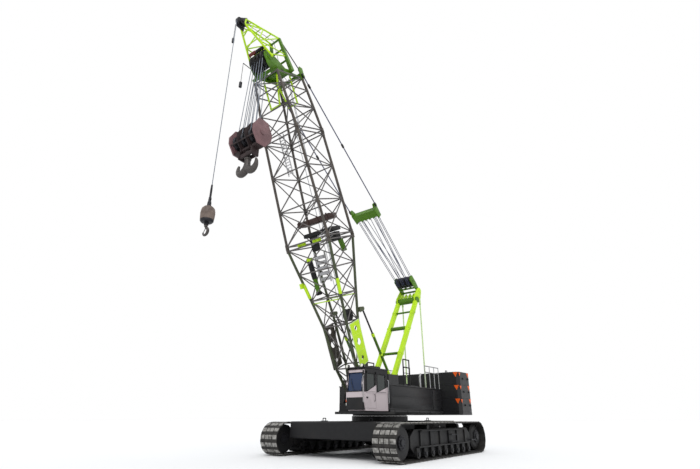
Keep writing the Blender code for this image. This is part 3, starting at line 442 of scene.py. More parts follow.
@dataclass
class Layout:
    """The crane's frames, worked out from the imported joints.

    Attributes:
        joints: Each joint's point at rest.
        boom_angle: The boom's angle above level at rest, in degrees.
        anchor: Where the pendants hold the boom, as (distance along it, height above its middle).
    """

    joints: dict[str, Vector]
    boom_angle: float = 66.0
    anchor: tuple[float, float] = (16.38, 0.83)

    @property
    def slew(self) -> Matrix:
        """The frame with its origin below the slew axis, on the ground."""
        return Matrix.Translation((self.joints["slew"].x, 0.0, 0.0))

    @property
    def boom(self) -> Matrix:
        """The frame of the boom, lying along X from its foot pin with its back upwards."""
        return self.tilted(self.joints["boom_luff"], self.boom_angle)

    @property
    def line(self) -> Matrix:
        """The frame of the luffing line, lying along X from its pivot on the gantry."""
        pivot = self.joints["luffing_line_swing"]
        along = self.boom @ Vector((self.anchor[0], 0.0, self.anchor[1])) - pivot
        return self.tilted(pivot, math.degrees(math.atan2(along.z, along.x)))

    def tilted(self, origin: Vector, angle: float) -> Matrix:
        """A frame turned up about a pin.

        Args:
            origin: The pin's middle.
            angle: Its angle above level, in degrees.
        """
        return Matrix.Translation((origin.x, 0.0, origin.z)) @ Matrix.Rotation(-math.radians(angle), 4, "Y")

    def in_slew(self, point: Vector) -> Vector:
        """A point of the whole frame, counted from the slew axis."""
        return self.slew.inverted() @ point

    def boom_in_slew(self, along: float, across: float, up: float) -> Vector:
        """A point of the boom, counted from the slew axis."""
        return self.in_slew(self.boom @ Vector((along, across, up)))


class Side(Enum):
    """A side of the crane, with its sign along Y."""

    LEFT = 1
    RIGHT = -1

    @property
    def word(self) -> str:
        """The side's name in the pieces' names."""
        return self.name.lower()


HEAD_SHEAVE = (17.10, -1.03)
TIP_SHEAVE = (18.88, -1.86)
BACKSTOP_EYE = (4.03, 0.90)


@dataclass
class Assembly:
    """A part of the crane that is modelled in the layout's frames."""

    layout: Layout

    def shapes(self, count: int, place: Matrix | None = None) -> list[Shape]:
        """Starts some empty meshes.

        Args:
            count: How many.
            place: Their frame, which is the slewing frame if it isn't given.
        """
        return [Shape(self.layout.slew if place is None else place) for _ in range(count)]


def span(start: float, reach: float) -> tuple[float, float]:
    """The lower and the upper end of what reaches from a place, either way."""
    return min(start, start + reach), max(start, start + reach)


def groove(half: list, middle: float) -> list:
    """A sheave's profile, from the half of it that lies on one side of its middle.

    Args:
        half: (radius, distance before the middle) points from the hub to the groove.
        middle: The place of its middle along its axis.

    Returns:
        (radius, place along the axis) points from one side of the hub to the other.
    """
    after = [(radius, middle + reach) for radius, reach in reversed(half) if reach]
    return [(radius, middle - reach) for radius, reach in half] + after


# ------------------------------------------------------------------ undercarriage

@dataclass
class Crawlers(Assembly):
    """The tracks' shoes, the dress of their frames, and the carbody's pins."""

    front: float = 4.60
    rear: float = -4.40
    height: float = 1.46
    width: float = 1.10
    gauge: float = 6.40
    shoes: int = 58
    pad_rows: tuple[tuple[float, float], ...] = ((-0.40, 0.135), (-0.115, 0.10), (0.115, 0.10), (0.40, 0.135))
    link_rows: tuple[float, ...] = (-0.17, 0.17)
    bolt_rows: tuple[float, ...] = (-0.53, -0.26, 0.26, 0.53)
    shoe_gap: float = 0.010
    frame_half: float = 0.31
    rib_places: tuple[float, ...] = (-2.2, -1.3, -0.4, 0.5, 1.4, 2.3)
    rib_low: float = 0.50
    rib_high: float = 1.14
    roller_level: float = 0.266
    roller_reach: float = 0.424
    idler_cover: tuple[float, float] = (0.345, 0.26)
    drive_cover: tuple[float, float] = (0.305, 0.30)
    cover_bolts: int = 12
    ring_bolts: int = 36
    ring_radius: float = 1.36
    rollers: int = 9
    roller_front: float = 2.65
    roller_rear: float = -2.40

    def loop_point(self, distance: float) -> tuple[float, float, float]:
        """A place on the track's outer loop.

        Args:
            distance: How far round the loop, from the front end of the lower run rearwards.

        Returns:
            Its x and z, and the angle of its outward direction in radians.
        """
        radius = self.height / 2
        straight = self.front - self.rear - 2 * radius
        arc = math.pi * radius
        ahead, behind = self.front - radius, self.rear + radius
        if distance < straight:
            return ahead - distance, 0.0, -math.pi / 2
        distance -= straight
        if distance < arc:
            angle = -math.pi / 2 - distance / radius
            return behind + radius * math.cos(angle), radius + radius * math.sin(angle), angle
        distance -= arc
        if distance < straight:
            return behind + distance, self.height, math.pi / 2
        angle = math.pi / 2 - (distance - straight) / radius
        return ahead + radius * math.cos(angle), radius + radius * math.sin(angle), angle

    def shoe(self, shape: Shape, centre: float, distance: float, pitch: float, pads: bool) -> None:
        """Adds one shoe's pads, kept bright as a painted highlight on the grousers over their wear, or its
        plate with the link below it, kept dark as painted shade between the pads.

        Args:
            shape: The track's mesh.
            centre: The track's middle along Y.
            distance: Where on the loop the shoe lies.
            pitch: The distance between shoes.
            pads: True for the pads.
        """
        x, z, angle = self.loop_point(distance)
        turn = Matrix.Translation((x, centre, z)) @ Matrix.Rotation(math.pi / 2 - angle, 4, "Y")
        single = Shape(Matrix())
        half, width = pitch / 2 - self.shoe_gap, self.width / 2
        if pads:
            for across, reach in self.pad_rows:
                single.box((-half * 0.80, across - reach, -0.045), (half * 0.35, across + reach, -0.012),
                           0.014)
        else:
            single.box((-half, -width, -0.075), (half, width, -0.034), 0.008, 1)
            for across in self.link_rows:
                single.box((-half * 0.95, across - 0.045, -0.102), (half * 0.95, across + 0.045, -0.066))
            for across in self.bolt_rows:
                single.bar((half * 0.66, across, -0.036), (half * 0.66, across, -0.022), 0.016, 6)
        shape.take(single, turn)

    def track(self, side: Side) -> None:
        """Builds one track from its shoes."""
        radius = self.height / 2
        pitch = (2 * (self.front - self.rear - 2 * radius) + 2 * math.pi * radius) / self.shoes
        # The pads carry a painted highlight over their wear, and the plates the darkened steel as painted
        # shade.
        for pads, finish, name in ((True, SHOE, "pads"), (False, SHOE_PLATE_SHADED, "plates")):
            shape = Shape(self.layout.slew)
            for number in range(self.shoes):
                self.shoe(shape, side.value * self.gauge / 2, (number + 0.5) * pitch, pitch, pads)
            shape.piece(f"{side.word}_track_{name}", finish, "undercarriage", slot="shoe_steel",
                        stands_for=(f"{side.word}_track",))

    def frame_dress(self, side: Side) -> None:
        """Adds the roller caps, stiffeners, step and ledge of one crawler's frame."""
        centre = side.value * self.gauge / 2
        faces = Shape(self.layout.slew)
        bright = Shape(self.layout.slew)
        for face in (-1, 1):
            outer = centre + face * (self.frame_half + 0.004)
            roller_face = centre + face * self.roller_reach
            for number in range(self.rollers):
                x = self.roller_rear + (self.roller_front - self.roller_rear) * number / (self.rollers - 1)
                bright.bar((x, roller_face, self.roller_level),
                           (x, roller_face + face * 0.03, self.roller_level), 0.075, 16)
                low, high = span(outer, face * 0.10)
                faces.box((x - 0.13, low, 0.30), (x + 0.13, high, self.rib_low), 0.012, 1)
            for x in self.rib_places:
                low, high = span(outer, face * 0.05)
                faces.box((x - 0.035, low, self.rib_low), (x + 0.035, high, self.rib_high), 0.006, 1)
            low, high = span(outer, face * 0.16)
            faces.box((self.roller_rear, low, self.rib_low), (self.roller_front, high, 0.55), 0.008, 1)
            faces.box((-2.20, low, 1.10), (2.40, high, self.rib_high), 0.008, 1)
        step = centre + side.value * (self.frame_half + 0.16)
        for x, z in ((-0.6, 0.62), (-0.6, 0.90)):
            low, high = sorted((step - side.value * 0.15, step + side.value * 0.07))
            bright.box((x - 0.28, low, z), (x + 0.28, high, z + 0.025), 0.006, 1)
        low, high = sorted((step - side.value * 0.14, step + side.value * 0.06))
        bright.box((-3.05, low, 0.60), (-2.55, high, 0.64), 0.006, 1)
        faces.piece(f"{side.word}_frame_ribs", BLACK, "undercarriage")
        bright.piece(f"{side.word}_roller_caps", DARK_STEEL, "undercarriage")

    def wheels(self, side: Side) -> None:
        """Adds the bolted covers of the idler and of the final drive."""
        centre = side.value * self.gauge / 2
        shape = Shape(self.layout.slew)
        radius = self.height / 2
        for x, (reach, hub) in ((self.front - radius, self.idler_cover),
                                (self.rear + radius, self.drive_cover)):
            for face in (-1, 1):
                near, far = centre + face * reach, centre + face * (reach + 0.05)
                shape.bar((x, near, radius), (x, far, radius), hub, 32)
                shape.bar((x, far, radius), (x, far + face * 0.04, radius), hub * 0.5, 24)
                for number in range(self.cover_bolts):
                    angle = 2 * math.pi * number / self.cover_bolts
                    bolt = (x + hub * 0.8 * math.cos(angle), far, radius + hub * 0.8 * math.sin(angle))
                    shape.bar(bolt, (bolt[0], far + face * 0.022, bolt[2]), 0.020, 6)
        shape.piece(f"{side.word}_wheel_covers", DARK_STEEL, "undercarriage")

    def carbody_dress(self) -> None:
        """Adds the pins, bolts and cover plates between the crawlers."""
        shape = Shape(self.layout.slew)
        for side in Side:
            for end in (-1, 1):
                y = side.value * 2.30
                for z in (0.85, 1.18):
                    shape.bar((end * 1.86, y, z), (end * 1.98, y, z), 0.065, 16)
        for number in range(self.ring_bolts):
            angle = 2 * math.pi * number / self.ring_bolts
            x, y = self.ring_radius * math.cos(angle), self.ring_radius * math.sin(angle)
            shape.bar((x, y, 1.44), (x, y, 1.50), 0.022, 6)
        shape.piece("carbody_pins", BARE_STEEL, "undercarriage")
        ballast = Shape(self.layout.slew)
        for end, half in ((1, 2.46), (-1, 2.30)):
            for y in (-half * 0.55, half * 0.55):
                near, far = sorted((end * 2.6, end * 2.9))
                ballast.box((near, y - 0.12, 1.468), (far, y + 0.12, 1.50), 0.010, 1)
                ballast.hoop((end * 2.65, end * 2.85), y, 1.49, 1.60, 0.020)
        ballast.piece("ballast_lugs", DARK_STEEL, "undercarriage")

    def build(self) -> None:
        """Builds both crawlers and the dress between them."""
        for side in Side:
            self.track(side)
            self.frame_dress(side)
            self.wheels(side)
        self.carbody_dress()


# ------------------------------------------------------------------ upper works

@dataclass
class House(Assembly):
    """The machinery houses' doors, louvres, rails and rooftop pieces."""

    side: float = 1.50
    rear: float = -4.20
    front: float = 1.42
    low: float = 1.98
    top: float = 3.10
    doors: tuple[float, ...] = (-4.12, -3.05, 1.34)
    skin: float = 0.022
    panels: tuple[tuple[float, float], ...] = ((2.14, 2.50), (2.58, 2.92))
    slats: int = 9
    slat_pitch: float = 0.085
    posts: tuple[float, ...] = (-4.10, -3.55, -3.00, -2.45)
    middle_rail: float = 0.85
    top_rail: float = 1.18
    hatches: tuple[tuple[float, float], ...] = ((-3.95, -3.45), (-1.75, -0.75), (-0.55, -0.05))

    def side_doors(self, side: Side) -> None:
        """Adds the doors with their seams, hinges and handles on one side."""
        doors, trim = self.shapes(2)
        face = side.value * self.side
        for rear, front in zip(self.doors, self.doors[1:]):
            low, high = span(face, side.value * self.skin)
            doors.box((rear + 0.02, low, self.low + 0.06), (front - 0.02, high, self.top - 0.06), 0.010)
            outer = face + side.value * self.skin
            low, high = span(outer, side.value * 0.012)
            for bottom, top in self.panels:
                doors.box((rear + 0.10, low, bottom), (front - 0.10, high, top), 0.008)
            low, high = span(outer, side.value * 0.016)
            trim.box((rear + 0.10, low, 2.48), (rear + 0.16, high, 2.62), 0.005, 1)
            for z in (self.low + 0.2, self.top - 0.2):
                trim.bar((front - 0.03, outer, z - 0.05), (front - 0.03, outer, z + 0.05), 0.014, 10)
        low, high = span(face, side.value * 0.05)
        doors.box((self.rear, low, self.low - 0.12), (self.front, high, self.low - 0.02), 0.008, 1)
        doors.box((self.rear, low, self.top - 0.03), (self.front, high, self.top + 0.015), 0.008, 1)
        doors.piece(f"{side.word}_house_doors", CHARCOAL, "upper")
        trim.piece(f"{side.word}_door_handles", DARK_STEEL, "upper")

    def louvres(self, side: Side) -> None:
        """Adds the cooling slats behind the last door of one side."""
        shape = Shape(self.layout.slew)
        face = side.value * (self.side + self.skin)
        for number in range(self.slats):
            z = 2.20 + number * self.slat_pitch
            low, high = span(face, side.value * 0.018)
            shape.box((-3.95, low, z), (-3.20, high, z + 0.045), 0.006, 1)
        shape.piece(f"{side.word}_louvres", BLACK, "upper")

    def rails(self) -> None:
        """Adds the rails along the roof walkways and the grab loops at the front."""
        shape, loops = self.shapes(2)
        for side in Side:
            y = side.value * (self.side - 0.05)
            for x, height, across in ((-0.75, 0.92, 0.0), (-1.25, 1.38, -0.30)):
                y_in = y + side.value * across
                loops.hoop((x, x + 0.62), y_in, self.top, self.top + height, 0.034, 12)
                loops.bar((x, y_in, self.top + height / 2), (x + 0.62, y_in, self.top + height / 2), 0.018)
            for x in self.posts:
                shape.bar((x, y, self.top), (x, y, self.top + self.top_rail), 0.022)
            for z in (self.middle_rail, self.top_rail):
                shape.bar((self.posts[0], y, self.top + z), (self.posts[-1], y, self.top + z), 0.026)
        loops.piece("roof_loops", BLACK, "upper")
        shape.piece("roof_rails", BARE_STEEL, "upper")

    def roof(self) -> None:
        """Adds hatches, the silencer, the air filter and the exhaust pipe."""
        dark, pale = self.shapes(2)
        for side in Side:
            low, high = sorted((side.value * 1.05, side.value * 1.42))
            for rear, front in self.hatches:
                dark.box((rear, low, self.top), (front, high, self.top + 0.07), 0.02)
        dark.bar((-3.35, -1.24, 3.50), (-2.15, -1.24, 3.50), 0.15, 24)
        dark.turned([(0.10, 0.0), (0.18, 0.03), (0.18, 0.24), (0.12, 0.30)], (-1.35, -1.24, self.top), "Z",
                    24)
        dark.piece("roof_hatches", CHARCOAL, "upper")
        pale.path([(-2.30, 1.20, self.top), (-2.30, 1.20, 3.72), (-2.42, 1.20, 3.86)], 0.055, 16)
        pale.path([(-3.20, -1.24, 3.60), (-3.20, -1.24, 3.95), (-3.34, -1.24, 4.05)], 0.055, 16)
        pale.piece("exhaust_pipes", BARE_STEEL, "upper")

    def walkways(self) -> None:
        """Adds the brackets below the doors and the deck plates between the houses."""
        shape = Shape(self.layout.slew)
        for side in Side:
            low, high = sorted((side.value * 1.50, side.value * 1.56))
            for x in (-3.8, -2.6, -1.4, -0.2, 1.0):
                shape.box((x - 0.04, low, 1.84), (x + 0.04, high, 1.96), 0.006, 1)
        for x in (-3.9, -2.7, -1.5, -0.3):
            shape.box((x, -0.97, 2.285), (x + 1.1, 0.97, 2.300), 0.004, 1)
        shape.piece("deck_brackets", BLACK, "upper")

    def build(self) -> None:
        """Builds both houses' dress."""
        for side in Side:
            self.side_doors(side)
            self.louvres(side)
        self.rails()
        self.roof()
        self.walkways()


@dataclass
class Counterweight(Assembly):
    """The markers and lugs of the slabs behind the house."""

    front: float = -4.30
    rear: float = -6.00
    half: float = 2.60
    levels: tuple[float, ...] = (1.92, 2.62, 3.34, 4.05)
    marker_size: float = 0.30
    small_marker: float = 0.22
    marker_drop: float = 0.15
    lug_places: tuple[float, ...] = (-5.55, -4.85)
    hoop_places: tuple[float, ...] = (-5.65, -4.65)

    def marker(self, shape: Shape, place: Matrix, size: float) -> None:
        """Adds a triangle that points down, in the X and Z directions of its place.

        Args:
            shape: The mesh of the markers.
            place: Where its middle is.
            size: Its width.
        """
        single = Shape(place)
        single.plate([(-size / 2, size * 0.45), (0.0, -size * 0.45), (size / 2, size * 0.45)], 0.0, 0.004)
        bmesh.ops.recalc_face_normals(single.mesh, faces=single.mesh.faces)
        shape.take(single, place)

    def build(self) -> None:
        """Adds the markers on every slab and what stands on the stack."""
        marks, lugs = self.shapes(2)
        quarter = Matrix.Rotation(-math.pi / 2, 4, "Z")
        for low, high in zip(self.levels, self.levels[1:]):
            z = high - self.marker_drop
            for side in Side:
                y = side.value * (self.half - 0.18)
                self.marker(marks, Matrix.Translation((self.front, y, z)) @ quarter, self.marker_size)
                turn = Matrix() if side is Side.LEFT else Matrix.Rotation(math.pi, 4, "Z")
                for x, size in ((self.rear + 0.42, self.marker_size), (self.front - 0.15, self.small_marker)):
                    self.marker(marks, Matrix.Translation((x, side.value * self.half, z)) @ turn, size)
                for x in self.lug_places:
                    spot = (x, side.value * (self.half - 0.02), (low + high) / 2)
                    lugs.bar(spot, (x, side.value * (self.half + 0.05), (low + high) / 2), 0.055, 16)
        for x in self.hoop_places:
            for side in Side:
                lugs.hoop((x - 0.10, x + 0.10), side.value * 1.7, 4.04, 4.16, 0.022)
        marks.piece("counterweight_markers", ORANGE, "upper")
        lugs.piece("counterweight_lugs", DARK_STEEL, "upper")


@dataclass
class Cab(Assembly):
    """The cab's roof, trim, seals, rear pane, lamps, grab rails and wiper, and the door's dress."""

    rear: float = 1.98
    front: float = 3.90
    inner: float = 0.86
    outer: float = 1.80
    low: float = 1.90
    top: float = 3.66
    sill: float = 2.66
    door_rear: float = 2.92
    door_front: float = 3.74

    def seal(self, shape: Shape, corners: list) -> None:
        """Adds a rubber seal round a window.

        Args:
            shape: The seals' mesh.
            corners: The window's corners in order.
        """
        shape.path([*corners, corners[0], corners[1]], 0.016, 8)

    def side_seal(self, shape: Shape, rear: float, front: float, y: float, high: float) -> None:
        """Adds the seal of an upright window in the cab's side, from just above the sill.

        Args:
            shape: The seals' mesh.
            rear: Its rear edge.
            front: Its front edge.
            y: The face that it lies on.
            high: Its upper edge.
        """
        low = self.sill + 0.02
        self.seal(shape, [(rear, y, low), (front, y, low), (front, y, high), (rear, y, high)])

    def build(self) -> None:
        """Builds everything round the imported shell."""
        dark, rubber, bright = self.shapes(3)
        dark.box((self.rear - 0.04, self.inner, self.top - 0.02),
                 (self.front - 0.10, self.outer + 0.03, self.top + 0.05), 0.022)
        dark.box((self.rear + 0.25, self.inner + 0.2, self.top + 0.05),
                 (self.rear + 0.95, self.outer - 0.2, self.top + 0.16), 0.03)
        dark.box((self.front - 0.17, self.inner + 0.02, self.low + 0.04),
                 (self.front + 0.012, self.outer - 0.03, self.sill - 0.22), 0.02)
        self.pillars(dark)
        low, high = self.sill + 0.02, self.top - 0.20
        self.side_seal(rubber, self.rear + 0.16, self.door_rear - 0.09, self.outer + 0.004, high)
        self.side_seal(rubber, self.rear + 0.16, self.front - 0.40, self.inner - 0.004, high)
        near, far = self.inner + 0.09, self.outer - 0.09
        self.seal(rubber, [(self.front + 0.004, near, low), (self.front + 0.004, far, low),
                           (self.front - 0.09, far, high), (self.front - 0.09, near, high)])
        rubber.bar((self.front + 0.02, 1.28, self.sill + 0.03), (self.front - 0.03, 1.10, high - 0.25),
                   0.010, 8)
        bright.path([(self.front - 0.02, self.outer + 0.02, 2.20),
                     (self.front + 0.06, self.outer + 0.02, 2.26),
                     (self.front + 0.06, self.outer + 0.02, 3.28),
                     (self.front - 0.02, self.outer + 0.02, 3.34)], 0.014)
        bright.path([(self.rear + 0.02, self.outer, 2.20), (self.rear + 0.02, self.outer + 0.07, 2.24),
                     (self.rear + 0.02, self.outer + 0.07, 3.20), (self.rear + 0.02, self.outer, 3.24)],
                    0.016)
        dark.piece("cab_roof", BLACK, "upper")
        rubber.piece("cab_seals", RUBBER, "upper")
        bright.piece("cab_grab_rails", BARE_STEEL, "upper")
        self.panes()
        self.lamps()
        self.door_dress()

    def pillars(self, dark: Shape) -> None:
        """Covers the pillars and the roof's edge with dark trim.

        Args:
            dark: The mesh of the dark pieces.
        """
        low, high = self.sill, self.top
        for side, face in ((1, self.outer), (-1, self.inner)):
            near, far = sorted((face + side * 0.001, face + side * 0.007))
            dark.box((self.rear - 0.004, near, high - 0.24), (self.front - 0.10, far, high))
            dark.box((self.rear - 0.004, near, low), (self.rear + 0.15, far, high - 0.24))
            dark.box((self.front - 0.19, near, low), (self.front - 0.035, far, high - 0.24))
        near, far = self.outer + 0.001, self.outer + 0.007
        dark.box((self.door_rear - 0.10, near, low), (self.door_rear - 0.01, far, high - 0.24))
        lean = 0.10 / (self.top - self.sill)
        for y in (self.inner, self.outer - 0.09):
            middle, crown = y + 0.045, self.front - lean * (high - low - 0.12)
            dark.bar((self.front - 0.002, middle, low), (crown, middle, high - 0.12), 0.045, 4, roll=45)

    def panes(self) -> None:
        """Adds the rear pane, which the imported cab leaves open."""
        pane = Shape(self.layout.slew)
        pane.box((self.rear + 0.02, self.inner + 0.141, self.sill + 0.101),
                 (self.rear + 0.032, self.outer - 0.141, self.top - 0.241))
        pane.piece("cab_rear_window", PANE, "upper", slot="cab_glass")

    def lamps(self) -> None:
        """Adds the orange and white lamps at the front corner and the work lamps on the roof."""
        cases, lenses, amber = self.shapes(3)
        for y in (self.inner + 0.06, self.outer - 0.06):
            cases.bar((self.front - 0.10, y, self.top + 0.09), (self.front + 0.02, y, self.top + 0.09),
                      0.075, 24)
            lenses.bar((self.front + 0.02, y, self.top + 0.09), (self.front + 0.03, y, self.top + 0.09),
                       0.066, 24)
        amber.box((self.front - 0.11, self.inner - 0.045, 2.26),
                  (self.front - 0.03, self.inner - 0.004, 2.36), 0.012)
        lenses.box((self.front - 0.11, self.inner - 0.045, 2.12),
                   (self.front - 0.03, self.inner - 0.004, 2.22), 0.012)
        cases.piece("lamp_cases", BLACK, "upper")
        lenses.piece("lamp_lenses", LENS, "upper", slot="cab_glass")
        amber.piece("amber_lamp", ORANGE, "upper")

    def door_dress(self) -> None:
        """Adds the door's seal and handle, which swing with it."""
        shape, handle = self.shapes(2)
        self.side_seal(shape, self.door_rear + 0.09, self.door_front - 0.09, self.outer + 0.002,
                       self.top - 0.21)
        for start, end in ((self.door_rear + 0.004, self.door_rear + 0.10),
                           (self.door_front - 0.10, self.door_front - 0.004)):
            shape.box((start, self.outer + 0.001, self.sill + 0.01),
                      (end, self.outer + 0.007, self.top - 0.13))
        shape.piece("door_seal", RUBBER, "cab_door")
        sail = Shape(self.layout.slew)
        sail.plate([(self.door_front - 0.02, self.sill - 0.02), (self.door_rear + 0.02, self.sill - 0.02),
                    (self.door_rear + 0.02, self.sill + 0.30)], self.outer + 0.008, self.outer + 0.016)
        sail.piece("door_sail", SILVER, "cab_door")
        sail = Shape(self.layout.slew)
        sail.plate([(self.door_rear - 0.02, self.sill - 0.02), (self.rear + 0.01, self.sill - 0.02),
                    (self.rear + 0.01, self.sill + 0.26)], self.outer + 0.008, self.outer + 0.016)
        sail.piece("side_sail", SILVER, "upper")
        handle.box((self.door_front - 0.16, self.outer - 0.006, 2.40),
                   (self.door_front - 0.05, self.outer + 0.03, 2.46),
                   0.012)
        handle.path([(self.door_rear + 0.16, self.outer, 2.30),
                     (self.door_rear + 0.16, self.outer + 0.05, 2.30),
                     (self.door_rear + 0.16, self.outer + 0.05, 2.56),
                     (self.door_rear + 0.16, self.outer, 2.56)], 0.012)
        handle.piece("door_handle", BLACK, "cab_door")


@dataclass
class Gantry(Assembly):
    """The A-frame mast: its legs, cross tubes, head and back stays."""

    foot: tuple[float, float] = (0.25, 2.42)
    top: tuple[float, float] = (-3.50, 8.40)
    half: float = 0.63
    leg: float = 0.155
    stay_x: float = -3.98
    tubes: tuple[tuple[float, float], ...] = ((0.16, 0.075), (0.42, 0.075), (0.68, 0.11), (0.86, 0.055))

    def at(self, share: float, y: float) -> Vector:
        """A point on the legs' line, at a share of its length from the foot."""
        return Vector((self.foot[0], y, self.foot[1])).lerp(Vector((self.top[0], y, self.top[1])), share)

    def build(self) -> None:
        """Builds the mast and its stays."""
        mast, tubes, stays, head = self.shapes(4)
        for side in Side:
            y = side.value * self.half
            mast.bar(self.at(0.0, y), self.at(1.0, y), self.leg, 4, roll=45)
            mast.bar(self.at(0.0, y - 0.15), self.at(0.0, y + 0.15), 0.085, 24)
            for share, _ in self.tubes:
                mast.bar(self.at(share, y - 0.125), self.at(share, y + 0.125), 0.13, 16)
            head.plate([(-3.30, 8.30), (-3.22, 8.55), (-3.72, 9.16), (-3.92, 9.29), (-4.10, 9.27),
                        (-4.19, 9.13),
                        (-4.17, 8.98), (-3.98, 8.45), (-3.62, 8.22)], y - 0.03, y + 0.03, 0.006)
            head.bar((-4.0, y - 0.05, 9.10), (-4.0, y + 0.05, 9.10), 0.11, 24)
            stays.bar((self.stay_x, y, 8.60), (-4.02, y, 2.29), 0.040, 16)
            for z in (8.35, 2.55):
                stays.bar((self.stay_x, y, z - 0.16), (self.stay_x, y, z + 0.16), 0.062, 16)
        for share, radius in self.tubes:
            tubes.bar(self.at(share, -self.half), self.at(share, self.half), radius, 20)
        tubes.bar((self.top[0], -self.half - 0.12, self.top[1]),
                  (self.top[0], self.half + 0.12, self.top[1]), 0.19, 24)
        head.bar((self.stay_x, -self.half - 0.06, 8.62), (self.stay_x, self.half + 0.06, 8.62), 0.05, 20)
        for y in (-0.42, -0.14, 0.14, 0.42):
            head.plate([(-3.66, 8.50), (-3.30, 8.60), (-3.66, 8.92), (-3.82, 8.84)], y - 0.015, y + 0.015)
        tubes.piece("gantry_tubes", OLIVE, "upper")
        mast.piece("gantry_legs", LIME, "upper", stands_for=("gantry",))
        head.piece("gantry_head", LIME, "upper")
        stays.piece("gantry_stays", PALE_LIME, "upper", slot="lime_paint")


# ------------------------------------------------------------------ boom

@dataclass(frozen=True)
class Section:
    """One lattice section: the stations of its chords and the panels between them.

    Attributes:
        name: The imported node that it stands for.
        stations: (distance along, half width, lower height, upper height) of each batten frame.
    """

    name: str
    stations: tuple[tuple[float, float, float, float], ...]

    def corners(self, number: int) -> list[Vector]:
        """The four chord points of a station, round the section."""
        along, half, low, high = self.stations[number]
        return [Vector((along, side * half, level)) for side, level in
                ((1, low), (1, high), (-1, high), (-1, low))]


